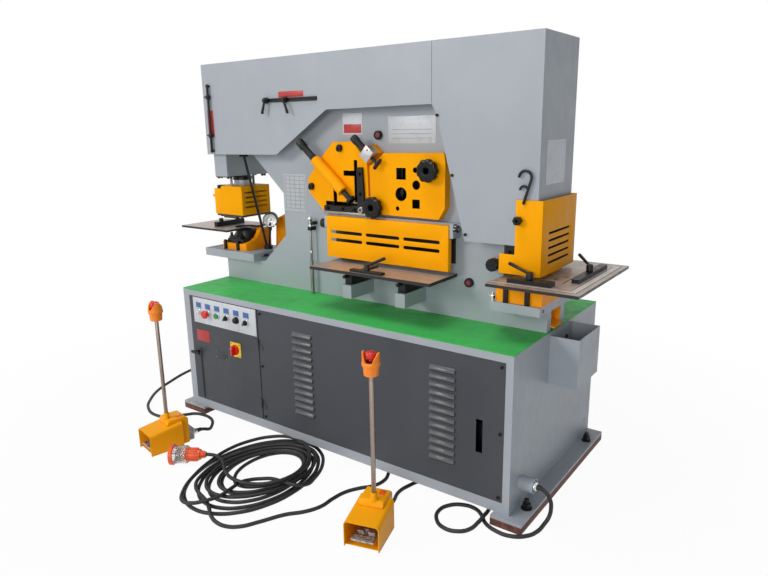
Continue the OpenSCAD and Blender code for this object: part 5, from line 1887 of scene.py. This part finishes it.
@dataclass
class Frame:
    """The C-shaped frame, its covers and the small things fixed to them.

    Attributes:
        rod_x: Where the stroke rod stands on the arm cover.
        bar: Ends of the slotted bar along X.
        bar_z: Lower and upper edge of the slotted bar.
        conduit_x: Where the lubrication pipe stands.
    """

    rod_x: float = 52.0
    bar: Span = (452.0, 792.0)
    bar_z: Span = (1585.0, 1603.0)
    conduit_x: float = 672.0

    def covers(self) -> None:
        """Dresses the frame plates and the sheet covers."""
        dress(Coats.SHEET, "main_frame", "arm_cover", "right_cover")

    def plates(self) -> None:
        """Builds the chart, sign and name plates, all without print, and the frame's plugs."""
        front = MACHINE.plate_y0
        maker = Maker("frame_plates")
        maker.box((480, 627), (front - 1, front), (1058, 1243), Coats.PLATE_GREY, 0.3)
        for i in range(9):
            z = 1072 + i * 20
            maker.box((488, 619), (front - 1.3, front - 0.8), (z, z + 1.6), Coats.PLATE_LINE, 0.0)
        for x in (488, 520, 552, 585, 617.4):
            maker.box((x, x + 1.6), (front - 1.3, front - 0.8), (1072, 1233.6), Coats.PLATE_LINE, 0.0)
        maker.box((875, 988), (front - 1, front), (1432, 1526), Coats.PLATE, 0.3)
        maker.box((881, 982), (front - 1.4, front - 0.8), (1438, 1477), Coats.PLATE_RED, 0.2)
        maker.box((1131, 1375), (front - 1, front), (1392, 1507), Coats.PLATE_METAL, 0.4)
        for z in (1414, 1432, 1450):
            maker.box((1150, 1356), (front - 1.3, front - 0.8), (z, z + 1.4), Coats.PLATE_LINE, 0.0)
        for x in (1138, 1368):
            for z in (1399, 1500):
                maker.rod((x, front - 1, z), (x, front - 3, z), 6.0, Coats.BRIGHT, edge=0.8, sides=16)
        maker.piece("base", ["front_fittings"])
        plugs = Maker("frame_plugs")
        for x, z in ((1080, 1428), (1545, 818)):
            rim = [(0, 0), (20, 0), (20, 12), (18, 15.5), (13, 16), (12.4, 12.5), (0, 12.5)]
            plugs.turned(rim, (x, front, z), Axis.BACK_Y, Coats.BLACK_PLASTIC, 40)
            plugs.turned([(0, 12), (11.8, 12), (10.8, 14.6), (0, 15)], (x, front, z), Axis.BACK_Y, Coats.PLUG_DARK, 32)
        plugs.piece("base")
        side = Maker("side_plate")
        side.box((1869.9, 1871), (294, 480), (1240, 1406), Coats.PLATE, 0.3)
        screws = [(1870.5, y, z) for y in (304, 470) for z in (1250, 1396)]
        side.studs(screws, (2, 0, 0), 6.0, Coats.BRIGHT, 0.8, 16)
        side.piece("base")
        seam = Maker("cover_seam")
        cover = MACHINE.cover_y0
        seam.box((1401.2, 1402.8), (cover - 0.3, cover + 0.5), (1552, 1786), Coats.PLATE_DARK, 0.0)
        seam.piece("base")

    def stroke_rod(self) -> None:
        """Builds the stroke rod with its brackets, stops and bare red strip."""
        x, y = self.rod_x, MACHINE.cover_y0 - 12.0
        maker = Maker("stroke_rod")
        maker.rod((x, y, 1346), (x, y, 1689), 13.0, Coats.BLACK, edge=2.0)
        for z in (1350, 1675):
            maker.box((x - 8, x + 8), (y - 5, MACHINE.cover_y0), (z, z + 10), Coats.BLACK, 1.5)
        for z in (1433, 1625):
            maker.rod((x, y, z - 10), (x, y, z + 10), 24.0, Coats.BLACK, edge=2.0)
            maker.rod((x, y, z), (x - 22, y - 6, z + 2), 7.0, Coats.BLACK, edge=1.5, sides=20)
        maker.piece("base")
        strip = Maker("stroke_strip")
        y = MACHINE.cover_y0
        strip.box((24, 70), (y - 1, y), (1428, 1560), Coats.PLATE_RED, 0.2)
        strip.piece("base")

    def slotted_bar(self) -> None:
        """Builds the slotted bar with its bare red strip and its two clamping levers."""
        y = MACHINE.cover_y0
        low, high = self.bar
        za, zb = self.bar_z
        maker = Maker("slotted_bar")
        slot = ((low + high) / 2, (za + zb) / 2, high - low - 24.0, 4.0)
        outline = oblong((low, high), (za, zb))
        maker.slab(outline, on_front(y - 3), 5.0, Coats.BLACK, [slot], edge=0.6, corner=3.0)
        maker.box((low, high), (y - 3, y), (za, zb), Coats.BLACK, 0.4)
        maker.piece("base")
        strip = Maker("bar_strip")
        strip.box((550, 709), (y - 1, y), (1605, 1632), Coats.PLATE_RED, 0.2)
        strip.piece("base")
        for name, x, reach in (("a", 476.0, -16.0), ("b", 600.0, 30.0)):
            lever = Maker(f"stroke_lever_{name}_handle")
            lever.box((x - 12, x + 12), (y - 18, y - 8.4), (za - 5, zb + 5), Coats.BLACK, 2.0, 3)
            lever.box((x - 8, x + 8), (y - 8.4, y - 3.4), (1591.4, 1596.6), Coats.BLACK, 0.3)
            hub = [(0, 0), (11, 0), (11, 9), (9, 12), (0, 12)]
            lever.turned(hub, (x, y - 18, 1594), Axis.BACK_Y, Coats.BLACK, 32)
            lever.rod((x, y - 22, 1594), (x + reach, y - 27, 1532), 9.5, Coats.BLACK, 14.0, 4.0)
            lever.piece(f"stroke_lever_{name}", [f"stroke_lever_{name}"])

    def conduit(self) -> None:
        """Builds the lubrication pipe with its ribbed foot, clamp and bright ball."""
        x, y, foot = self.conduit_x, MACHINE.plate_y0 - 30.0, MACHINE.mat_top
        maker = Maker("lubrication_pipe")
        ribs: list[Span] = [(0, 0), (9.5, 0)]
        for i in range(20):
            z = 3.0 + i * 8.0
            ribs += [(9.8, z), (9.8, z + 3.2), (7.6, z + 4.4), (7.6, z + 6.8)]
        maker.turned(ribs + [(9.8, 164), (9.8, 168), (6, 170), (0, 170)], (x, y, foot), Axis.Z, Coats.STEEL, 28)
        maker.rod((x, y, foot + 168), (x, y, 1022), 12.5, Coats.STEEL, edge=0.6, sides=28)
        for z in (860, 990):
            maker.rod((x, y, z), (x, y, z + 14), 17.0, Coats.BRIGHT, edge=1.6, sides=6)
        maker.turned(
            [(0, 0), (6, 1), (10, 4.6), (12, 11), (11, 17), (7.6, 21.6), (3, 23.8), (0, 24)],
            (x, y, 1020), Axis.Z, Coats.CHROME, 36,
        )
        maker.piece("base")
        clamp = Maker("pipe_clamp")
        clamp.box((x - 10, x + 12), (y - 10, y + 30), (975, 993), Coats.BLACK, 2.0)
        clamp.box((x - 8, x + 22), (y - 4, y + 30), (1004, 1018), Coats.BLACK, 2.0)
        clamp.piece("base")

    def build(self) -> None:
        """Dresses and completes the frame."""
        self.covers()
        self.plates()
        self.stroke_rod()
        self.slotted_bar()
        self.conduit()


# ---------- punch ----------


@dataclass
class PunchStation:
    """Guide, ram, guard, table and die block of the punch, and its work lamp.

    Attributes:
        bed: Height of the bolster's top.
        guide: Height of the guide box's lower face.
        guard: Lower and upper edge of the stripper guard.
        lamp: Middle of the lamp's head.
    """

    bed: float = 815.0
    guide: float = 1220.0
    guard: Span = (1011.0, 1165.0)
    lamp: tuple[float, float, float] = (258.0, 412.0, 982.0)

    def dressed(self) -> None:
        """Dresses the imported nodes."""
        dress(Coats.SHEET, "cylinder_bodies")
        dress(Coats.BRIGHT, "punch_ram")
        dress(Coats.TABLE, "punch_table")
        dress(Coats.BLACK, "punch_fence", "lamp_arm")

    def guide_band(self) -> None:
        """Builds the dark wiper and the bolts under the guide box."""
        x, y, z = MACHINE.punch_x, MACHINE.centre_y, self.guide
        maker = Maker("guide_wiper")
        ring = [(35.4, 0), (46, 0), (46, 7), (44, 9), (35.4, 9), (35.4, 0)]
        maker.turned(ring, (x, y, z), Axis.DOWN, Coats.BLACK, 48)
        bolts = [(x + u, y + v, z) for u in (-38, 38) for v in (-132, -113, 113, 132)]
        maker.studs(bolts, (0, 0, -12), 14.0, Coats.BLACK, 1.2, 6)
        maker.box((x - 46, x + 46), (y - 144, y - 106), (z - 5, z + 1), Coats.BLACK, 1.5)
        maker.piece("base")
        collar = Maker("ram_collar")
        ring = [(35.4, 2), (45.4, 2), (46, 4), (46, 26), (44.6, 30), (35.4, 30), (35.4, 2)]
        collar.turned(ring, (x, y, 1165), Axis.Z, Coats.PLATE_METAL, 56)
        ring = [(35.4, 30), (52, 30), (52, 46), (50, 50), (35.4, 50), (35.4, 30)]
        collar.turned(ring, (x, y, 1165), Axis.Z, Coats.BLACK, 56)
        collar.piece("ram")

    def stripper(self) -> None:
        """Builds the dark stripper plate, its screws and the knob on the guard."""
        x, y, low = MACHINE.punch_x, MACHINE.centre_y, self.guard[0]
        maker = Maker("stripper_plate")
        outline = oblong((x - 116, x + 92), (y - 96, y + 96))
        hole = (x, y, 110.0, 110.0)
        maker.slab(outline, Matrix.Translation((0, 0, low - 11)), 10.0, Coats.DARK_BLADE, [hole], edge=1.0)
        maker.box((x - 60, x + 40), (y - 99, y - 76), (low - 20, low - 10), Coats.DARK_BLADE, 2.0)
        for u in (-90, 70):
            maker.rod((x + u, y - 84, low - 16), (x + u, y - 84, low - 10), 18.0, Coats.BLACK, edge=1.2, sides=6)
        maker.piece("punch_guard")
        knob = Maker("guard_knob")
        knob.fluted(21.0, 19.0, 8, (x - 90, y - 78, self.guard[1] - 16), Axis.Z, Coats.BAKELITE)
        knob.piece("punch_guard")

    def box_guard(self) -> None:
        """Builds the guard's folded box, its stepped front, its slots and its handle."""
        x, y = MACHINE.punch_x, MACHINE.centre_y
        low, high = self.guard
        step = high - 15.0
        maker = Maker("stripper_guard")
        front = [(x - 120, low), (x + 100, low), (x + 100, high), (x - 60, high), (x - 66, step), (x - 120, step)]
        maker.slab(front, on_front(y - 99), 3.0, Coats.YELLOW, edge=0.8)
        back = oblong((x - 120, x + 100), (low, high))
        maker.slab(back, on_front(y + 102), 3.0, Coats.YELLOW, edge=0.8)
        side = oblong((y - 101, y + 101), (low, high))
        slots = [(y - 1, low + 42.0 + i * 26.0, 162.0, 9.0) for i in range(4)]
        maker.slab(side, on_right(x + 97), 3.0, Coats.YELLOW, slots, edge=0.8)
        left = [(y - 101, low), (y + 101, low), (y + 101, high), (y - 56, high), (y - 62, step), (y - 101, step)]
        maker.slab(left, on_right(x - 120), 3.0, Coats.YELLOW, edge=0.8)
        top = [
            (x - 60, y - 101), (x + 99, y - 101), (x + 99, y + 101), (x - 119, y + 101),
            (x - 119, y - 58), (x - 60, y - 58),
        ]
        holes = [(x, y, 110.0, 110.0), (x, y + 80, 17.0, 17.0), (x, y - 80, 17.0, 17.0)]
        lid = oblong((x - 119, x - 60), (y - 101, y - 58))
        maker.slab(top, Matrix.Translation((0, 0, high - 3)), 3.0, Coats.YELLOW, holes, 0.6)
        maker.slab(lid, Matrix.Translation((0, 0, step - 3)), 3.0, Coats.YELLOW, edge=0.6)
        maker.box((x - 62, x - 59), (y - 101, y - 56), (step - 2, high - 1), Coats.YELLOW, 0.6)
        maker.box((x - 119, x - 59), (y - 60, y - 57), (step - 2, high - 1), Coats.YELLOW, 0.6)
        maker.rod((x - 66, y - 101.4, low + 2), (x - 66, y - 101.4, step), 1.8, Coats.YELLOW, sides=12)
        maker.rod((x - 150, y - 84, low + 97), (x - 116, y - 84, low + 97), 15.0, Coats.YELLOW, edge=2.0, sides=28)
        maker.box((x - 150, x - 118), (y - 84, y - 42), (low + 94, low + 100), Coats.YELLOW, 1.4)
        maker.piece("punch_guard", ["punch_guard"])

    def die_block(self) -> None:
        """Builds the die block: low front, round die holder, two swept cheeks and the gusset."""
        x, y, z = MACHINE.punch_x, MACHINE.centre_y, self.bed
        top = z + 108.0
        maker = Maker("die_block")
        base = oblong((x - 61, x + 66), (y - 90, y + 100))
        maker.slab(base, Matrix.Translation((0, 0, z)), 36.0, Coats.DIE_ORANGE, [(x, y, 60, 60)], 1.6)
        cheek = [
            (y - 90, z), (y + 100, z), (y + 100, top), (y + 22, top), (y + 10, z + 84), (y - 8, z + 64),
            (y - 34, z + 50), (y - 62, z + 43), (y - 90, z + 40),
        ]
        maker.slab(cheek, on_right(x + 65), 30.0, Coats.DIE_ORANGE, edge=1.8)
        maker.slab(cheek, on_right(x - 95), 35.0, Coats.DIE_ORANGE, edge=1.8)
        maker.box((x - 61, x + 66), (y + 62, y + 100), (z + 34, top), Coats.DIE_ORANGE, 1.6)
        gusset = [(x + 125, z), (x + 190, z), (x + 205, 900), (x + 201, 1002), (x + 136, 973)]
        maker.slab(gusset, on_front(y + 113), 8.0, Coats.DIE_ORANGE, edge=1.4)
        maker.piece("base", ["punch_die_set"])
        holder = Maker("die_holder")
        ring = [(30, 34), (55, 34), (55, 100), (53, 104), (32, 114), (14.6, 114), (13.6, 112), (13.6, 82)]
        holder.turned(ring + [(19, 80), (19, 60), (30, 56), (30, 34)], (x, y, z), Axis.Z, Coats.BLACK, 64)
        holder.piece("base")

    def die_clamps(self) -> None:
        """Builds the black clamps over the die block and the dark joints of its parts."""
        x, y = MACHINE.punch_x, MACHINE.centre_y
        maker = Maker("punch_die_clamps")
        for u in (-75, 25):
            maker.box((x + u - 1, x + u + 15), (y - 101, y - 88), (self.bed, self.bed + 52), Coats.BLACK, 1.6)
            maker.rod((x + u + 7, y - 102, self.bed + 14), (x + u + 7, y - 99, self.bed + 14), 12, Coats.BLACK, sides=6)
        maker.box((x - 60, x + 64), (y - 84, y - 44), (self.bed + 35, self.bed + 60), Coats.BLACK, 2.0)
        maker.box((x - 52, x + 40), (y - 80, y - 46), (self.bed + 59, self.bed + 73), Coats.BLACK, 2.0)
        maker.rod((x - 40, y - 70, self.bed + 72), (x - 40, y - 70, self.bed + 92), 16, Coats.BLACK, sides=6)
        maker.rod((x + 24, y - 62, self.bed + 72), (x + 24, y - 62, self.bed + 84), 20, Coats.BLACK, sides=32)
        maker.piece("base")
        socket = Maker("bolster_socket")
        socket.box((x + 191.4, x + 192.6), (y - 55, y - 20), (self.bed - 28, self.bed - 12), Coats.PLATE_DARK, 0.3)
        socket.rod((x + 191, y - 64, self.bed - 22), (x + 193, y - 64, self.bed - 22), 9.0, Coats.BLACK, edge=0.5)
        socket.piece("base")

    def lamp_head(self) -> None:
        """Builds the lamp's round head with its reflector, bulb and glass."""
        turn = Matrix.Rotation(math.radians(36), 4, "Z") @ Matrix.Rotation(math.radians(8), 4, "X")
        maker = Maker("lamp_housing", Matrix.Translation(self.lamp) @ turn)
        rim = [(36.4, 1), (37, 0), (39, 0), (40, 1.4), (40, 27), (38.6, 29.4), (37, 30)]
        cone = [(34, 38), (28, 48), (20.5, 58), (18, 60), (0, 60)]
        maker.turned(rim + cone, (0, -16, 0), Axis.Y, Coats.BLACK, 56)
        for i in range(3):
            maker.turned(
                [(36.6, 32 + i * 5), (38.0, 33 + i * 5), (38.0, 34.6 + i * 5), (34.6, 35.6 + i * 5)],
                (0, -16, 0), Axis.Y, Coats.BLACK, 56,
            )
        dish = [(36.4, 1), (36.2, 5), (33, 9), (26, 15), (16, 20), (7, 22), (0, 22)]
        maker.turned(dish, (0, -16, 0), Axis.Y, Coats.REFLECTOR, 56)
        bulb = [(0, 9), (3.4, 10), (4.6, 13), (4.6, 18), (7, 19), (7, 22.4), (0, 22.4)]
        maker.turned(bulb, (0, -16, 0), Axis.Y, Coats.BRIGHT, 28)
        maker.turned([(0, 2.2), (36.3, 2.2), (36.3, 3.8), (0, 3.8), (0, 2.2)], (0, -16, 0), Axis.Y, Coats.GLASS, 56)
        maker.piece("lamp", ["lamp_head"])
        neck = Maker("lamp_neck")
        neck.turned([(4.2, 0), (10, 0), (10, 18), (8, 21.6), (0, 21.6)], (250, 415, 936.4), Axis.Z, Coats.BLACK, 32)
        neck.rod((250, 415, 950), (256, 413, 968), 12.0, Coats.BLACK, edge=2.0, sides=24)
        neck.piece("lamp")

    def build(self) -> None:
        """Dresses and completes the punch station."""
        self.dressed()
        self.guide_band()
        self.box_guard()
        self.stripper()
        self.die_block()
        self.die_clamps()
        self.lamp_head()


# ---------- shears ----------


@dataclass
class SectionShear:
    """The section shear's plates, holders, hold-down screws and knobs.

    Attributes:
        screw_y: Depth of both hold-down screws.
        angle_at: Upper end of the angle hold-down's boss, as x and z.
        angle_turn: How far its screw points down, in degrees.
        bar_at: Upper end of the bar hold-down's boss, as x and z.
        bar_turn: How far its screw points down, in degrees.
    """

    screw_y: float = 246.0
    angle_at: Span = (753.0, 1319.0)
    angle_turn: float = 40.5
    bar_at: Span = (1065.0, 1350.0)
    bar_turn: float = 41.2

    def screw_frame(self, at: Span, turn: float) -> Matrix:
        """Returns the frame of a screw, whose X points down along it."""
        spin = Matrix.Rotation(math.radians(turn), 4, "Y")
        return Matrix.Translation((at[0], self.screw_y, at[1])) @ spin

    def dressed(self) -> None:
        """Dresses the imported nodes."""
        dress(Coats.YELLOW_HOLE_SHADED, "shear_plates")
        dress(Coats.BLACK, "angle_holder", "shear_beam")
        dress(Coats.BRIGHT, "shear_rod")

    def angle_screw(self) -> None:
        """Builds the left hold-down screw with its thick grip."""
        maker = Maker("angle_screw_grip", self.screw_frame(self.angle_at, self.angle_turn))
        grip = [(0, -129), (16, -129), (19, -127), (20, -123), (20, -88), (18, -85), (16, -80), (16, -20)]
        maker.turned(grip + [(0, -20)], (0, 0, 0), Axis.X, Coats.BLACK_PLASTIC, 40)
        stem = oblong((0, 12), (-52, 266))
        maker.turned(stem, (0, 0, 0), Axis.X, Coats.BLACK, 36)
        maker.turned([(0, -30), (16, -30), (17, -28), (17, -8), (0, -8)], (0, 0, 0), Axis.X, Coats.BLACK, 6)
        foot = [(0, 264), (20, 266), (22, 268), (22, 277), (20.5, 280), (0, 280)]
        maker.turned(foot, (0, 0, 0), Axis.X, Coats.BLACK, 36)
        maker.piece("angle_screw", ["angle_screw"])

    def bar_screw(self) -> None:
        """Builds the upper hold-down screw, its T end and the bright block it runs in."""
        home = self.screw_frame(self.bar_at, self.bar_turn)
        maker = Maker("bar_screw_grip", home)
        grip = [(0, -108), (14, -108), (17, -106), (17.6, -102), (17.6, -74), (16, -71), (16, -26)]
        maker.turned(grip + [(0, -26)], (0, 0, 0), Axis.X, Coats.BLACK_PLASTIC, 36)
        for i in range(18):
            rib = Matrix.Rotation(math.tau * i / 18, 4, "X")
            maker.box((-103, -76), (-1.2, 1.2), (16.8, 18.4), Coats.BLACK_PLASTIC, 0.5, 1, turn=rib)
        maker.turned(oblong((0, 7), (-38, 62)), (0, 0, 0), Axis.X, Coats.BLACK, 28)
        maker.box((61, 73), (-10, 10), (-24, 24), Coats.BLACK, 4.0, 3)
        for side in (-1, 1):
            ball = [(0, -8), (5, -6.6), (8, -2), (8, 2), (5, 6.6), (0, 8)]
            maker.turned(ball, (67.6, 0, side * 21.0), Axis.Z, Coats.BLACK, 24)
        maker.piece("bar_screw", ["bar_screw"])
        block = Maker("bar_block", home)
        block.box((-24.8, 28.8), (-16.8, 25), (-30.8, 30.8), Coats.BRIGHT, 4.0, 3)
        block.rod((-4, -18, 18), (-4, -16, 18), 9.0, Coats.DARK_BLADE, edge=0.6, sides=6)
        block.piece("base")

    def holder(self) -> None:
        """Builds the bright strip and the large screw of the angle holder."""
        maker = Maker("holder_trim")
        maker.box((786, 1036), (259, 270), (1070, 1082), Coats.STEEL, 1.2)
        maker.box((1031, 1040), (259, 270), (1074, 1122), Coats.STEEL, 1.2)
        head = [(0, 0), (15, 0), (15, 7), (13, 9.5), (0, 9.5)]
        maker.turned(head, (1012, 256.5, 1098), Axis.BACK_Y, Coats.STEEL, 32)
        maker.rod((1012, 247.4, 1098), (1012, 246.4, 1098), 13.0, Coats.BLACK, edge=0.2, sides=6)
        maker.piece("base")
        screws = Maker("plate_screws")
        for x, z in ((887, 1374), (706, 1194)):
            head = [(0, 0), (15, 0), (15, 11), (13.6, 13), (8, 13), (7.6, 7), (0, 7)]
            screws.turned(head, (x, 270, z), Axis.BACK_Y, Coats.BLACK, 36)
        screws.piece("base")

    def knobs(self) -> None:
        """Builds the two fluted clamping knobs of the bar plate."""
        for name, x, z in (("upper", 1377.0, 1284.0), ("lower", 1088.0, 1115.0)):
            maker = Maker(f"knob_{name}_head")
            maker.fluted(49.0, 28.0, 9, (x, 254.0, z), Axis.BACK_Y, Coats.BAKELITE)
            neck = [(0, 0), (20, 0), (20, 12), (17, 15.6), (0, 15.6)]
            maker.turned(neck, (x, 254.0, z), Axis.Y, Coats.BLACK, 36)
            maker.rod((x, 269.6, z), (x, 294, z), 15.8, Coats.BLACK, sides=24)
            maker.piece(f"knob_{name}", [f"knob_{name}"])

    def build(self) -> None:
        """Dresses and completes the section shear."""
        self.dressed()
        self.angle_screw()
        self.bar_screw()
        self.holder()
        self.knobs()


@dataclass
class FlatBarShear:
    """The flat-bar shear's guard, table and gauge.

    Attributes:
        ends: Ends of the guard along X.
        rise: Lower and upper edge of the guard.
        front: Depth of the guard's front.
    """

    ends: Span = (815.0, 1480.0)
    rise: Span = (868.0, 1062.0)
    front: float = 240.0

    def guard(self) -> None:
        """Builds the slotted guard with its folded rim."""
        (xa, xb), (za, zb), y = self.ends, self.rise, self.front
        maker = Maker("bar_guard_sheet")
        slots = [(xa + 118.5 + 206 * i, z, 185.0, 16.0) for i in range(3) for z in (952.0, 989.0)]
        outline = oblong((xa, xb), (za, zb))
        maker.slab(outline, on_front(y + 3), 3.0, Coats.YELLOW, slots, edge=0.5)
        maker.box((xa, xb), (y + 1, y + 26), (zb - 3, zb), Coats.YELLOW, 0.7)
        for x in (xa, xb - 3):
            maker.box((x, x + 3), (y + 1, y + 26), (za, zb - 1), Coats.YELLOW, 0.7)
        maker.piece("bar_guard", ["bar_guard"])

    def table(self) -> None:
        """Dresses the table and gauge and builds the dark posts and the hinge's bright bolt."""
        dress(Coats.TABLE, "bar_table")
        z = MACHINE.bar_table
        gauge = Maker("gauge_bar")
        gauge.box((1066, 1240), (93, 121), (z + 0.6, z + 11), Coats.BLACK, 1.4)
        gauge.box((1096, 1124), (110, 231), (z + 0.6, z + 8), Coats.BLACK, 1.2)
        hub = [(0, 8), (13, 8), (13, 26), (11, 30), (11, 36), (8, 39), (0, 39)]
        gauge.turned(hub, (1152, 108, z), Axis.Z, Coats.BLACK, 32)
        gauge.rod((1150, 107, z + 31), (1240, 124, z + 72), 10.0, Coats.BLACK, 15.0, 4.5, 28)
        gauge.piece("bar_gauge", ["bar_gauge"])
        maker = Maker("table_posts")
        for x in (992, 1284):
            maker.box((x - 1.5, x + 37.5), (153, 309), (771, 834), Coats.BLACK, 2.5)
            maker.rod((x + 18, 150, 812), (x + 18, 120, 812), 16.0, Coats.BLACK, edge=2.0, sides=28)
        maker.piece("base")
        # Painted shade: a dark plate where the upper blade holder sits, placed so that the guard's slots read as dark.
        shade = Maker("blade_holder_shade")
        shade.box((818, 1477), (302, 309.8), (892, 1052), Coats.BLACK, 1.5)
        bolts = [(x, 302, 912) for x in (900, 1040, 1180, 1320, 1410)]
        shade.studs(bolts, (0, -5, 0), 20.0, Coats.BLACK, 1.5, 6)
        shade.piece("base")
        bolt = Maker("guard_bolt")
        head = [(0, 0), (15, 0), (15, 12), (13, 14), (8, 14), (8, 23), (0, 23)]
        bolt.turned(head, (1499.5, 254, 1050), Axis.X, Coats.BRIGHT, 6)
        bolt.piece("base")
        grip = Maker("guard_clamp")
        grip.box((776, 806), (246, 286), (1002, 1044), Coats.BAKELITE, 4.0, 3)
        grip.piece("base")

    def build(self) -> None:
        """Dresses and completes the flat-bar shear."""
        self.guard()
        self.table()


# ---------- notcher ----------


@dataclass
class Notcher:
    """The notching station's guard, knobs, table and die block.

    Attributes:
        side: Depths of the guard's front and back faces.
        outline: The guard's front plate, as x and z.
        table: Height of the table's top.
        bed: Height of the bolster's top.
    """

    side: Span = (226.0, 574.0)
    outline: tuple[Span, ...] = (
        (1720, 897), (1892, 897), (1892, 1187), (1783, 1187), (1783, 975), (1720, 975),
    )
    table: float = 880.0
    bed: float = 783.0

    def guard(self) -> None:
        """Builds the sheet guard with its slots, flange and bracket."""
        near, far = self.side
        maker = Maker("notch_guard_sheet")
        maker.slab(self.outline, on_front(near + 4), 4.0, Coats.YELLOW, edge=0.8)
        maker.slab(self.outline, on_front(far), 4.0, Coats.YELLOW, edge=0.8)
        slots = [(403.5, 942.0 + 29.0 * i, 221.0, 10.0) for i in range(5)]
        right = oblong((near + 1, far - 1), (897, 1187))
        maker.slab(right, on_right(1888.0), 4.0, Coats.YELLOW, slots, edge=0.6)
        maker.box((1718, 1722), (near, 309.6), (897, 950), Coats.YELLOW, 0.8)
        maker.box((1640, 1722), (305.7, 309.7), (897, 937), Coats.YELLOW, 0.8)
        maker.box((1884.6, 1887.4), (near + 8, far - 8), (926, 1076), Coats.SHADE, 0.4)
        maker.piece("notch_guard", ["notch_guard"])

    def hooks(self) -> None:
        """Builds the two bent hooks that hang the raised guard, and the star knob."""
        y = self.side[0] - 5.0
        maker = Maker("guard_hooks")
        maker.rod((1814, y, 1172), (1843, y, 1266), 10.5, Coats.BLACK, edge=1.5, sides=24)
        maker.bend((1843, y, 1266), (0.3, 0, 1), (1819, y, 1272), (0, -1, 0), 196, 10.5, Coats.BLACK)
        maker.bend((1830, y, 1224), (0.2, 0, 1), (1815, y, 1225), (0, -1, 0), 184, 10.0, Coats.BLACK)
        maker.piece("notch_guard")
        knob = Maker("guard_star")
        knob.fluted(17.5, 20.0, 6, (1799, 218, 1110), Axis.BACK_Y, Coats.BAKELITE)
        knob.rod((1799, 219, 1110), (1799, 226, 1110), 16.0, Coats.BLACK, sides=24)
        knob.piece("notch_guard")

    def side_knob(self) -> None:
        """Builds the fluted knob that locks the guard to the frame."""
        maker = Maker("notch_knob_head")
        maker.fluted(27.0, 34.0, 12, (1667, 296, 914), Axis.BACK_Y, Coats.BAKELITE)
        maker.rod((1667, 295, 914), (1667, 304.8, 914), 20.0, Coats.BLACK, sides=28)
        maker.piece("notch_knob", ["notch_knob"])

    def lever(self, name: str, x: float, y: float, reach: Span) -> None:
        """Builds one clamping lever of a fence.

        Args:
            name: The fence it clamps.
            x: Where it turns, along X.
            y: Where it turns, along Y.
            reach: How far its handle reaches, along X and Y.
        """
        z = self.table
        maker = Maker(f"lever_{name}_handle")
        hub = [(0, 16.4), (12.4, 16.4), (14, 18.4), (14, 38), (12, 44), (8, 46), (0, 46)]
        maker.turned(hub, (x, y, z), Axis.Z, Coats.BLACK, 36)
        tip = (x + reach[0], y + reach[1], z + 64)
        maker.rod((x, y, z + 38), tip, 10.0, Coats.BLACK, 14.0, 4.0, 28)
        maker.piece(f"lever_{name}", [f"lever_{name}"])

    def fences(self) -> None:
        """Dresses the fences and table and builds the scribed lines and marks of the table."""
        dress(Coats.BLACK, "fence_front", "fence_side")
        dress(Coats.TABLE, "notch_table")
        dress(Coats.DIE_ORANGE, "notch_die_set")
        self.lever("front", 1868.0, 182.0, (-100.0, 30.0))
        self.lever("side", 2008.0, 440.0, (-72.0, 78.0))
        z = self.table
        maker = Maker("table_lines")
        for x0, x1, y0, y1 in ((1716, 2064, 132, 156), (2040, 2064, 156, 668), (1900, 2040, 644, 668)):
            maker.box((x0, x1), (y0, y1), (z - 0.4, z + 0.08), Coats.TABLE_BAND, 0.0)
        for x0, x1, y0, y1 in (
            (1716, 2068, 129, 133), (1716, 2040, 155, 158.5), (2064, 2068, 133, 672), (2037, 2040.5, 158, 644),
            (1900, 2040, 641, 644.5), (1900, 2064, 668, 671.5), (1968, 1974, 250, 560), (1780, 1990, 176, 181),
        ):
            maker.box((x0, x1), (y0, y1), (z - 0.4, z + 0.14), Coats.PLATE_DARK, 0.0)
        for x, y, turn in ((1915, 330, 20.0), (1948, 362, 200.0), (1922, 300, 80.0)):
            place = turn_about_z((x, y, z - 0.4), turn)
            maker.slab([(-14, -8), (14, -8), (6, 10)], place, 0.54, Coats.PLATE_DARK)
        maker.piece("base")

    def die_clamps(self) -> None:
        """Builds the die block's clamps, its dark joint and the small bright valve beside it."""
        maker = Maker("notch_die_clamps")
        for x in (1749, 1839):
            maker.box((x, x + 18), (206, 222), (self.bed, self.bed + 74), Coats.BLACK, 1.6)
        maker.box((1713, 1904), (221, 300), (846, 858), Coats.BLACK, 1.2)
        maker.box((1713, 1904), (500, 579), (846, 858), Coats.BLACK, 1.2)
        maker.piece("base")
        valve = Maker("die_valve")
        body = [(0, 0), (7, 0), (7, 10), (10, 12), (10, 22), (6, 25), (6, 34), (3, 37), (0, 37)]
        valve.turned(body, (1703, 214, self.bed), Axis.Z, Coats.CHROME, 6)
        valve.rod((1703, 214, self.bed + 17), (1688, 208, self.bed + 24), 6.0, Coats.BRIGHT, sides=20)
        valve.piece("base")
        socket = Maker("notch_socket")
        socket.rod((1904.6, 240, 764), (1905.6, 240, 764), 15.0, Coats.PLATE_DARK, edge=0.3)
        socket.piece("base")

    def build(self) -> None:
        """Dresses and completes the notching station."""
        self.guard()
        self.hooks()
        self.side_knob()
        self.fences()
        self.die_clamps()


def main() -> None:
    """Builds every sub-assembly in order."""
    logging.basicConfig(level=logging.INFO, format="%(name)s: %(message)s")
    for part in (
        Studio(), Cords(), Pedal.left(), Pedal.right(), Cabinet(), Controls(), Frame(),
        PunchStation(), SectionShear(), FlatBarShear(), Notcher(),
    ):
        LOG.info("building %s", type(part).__name__)
        part.build()


if __name__ == "__main__":
    main()
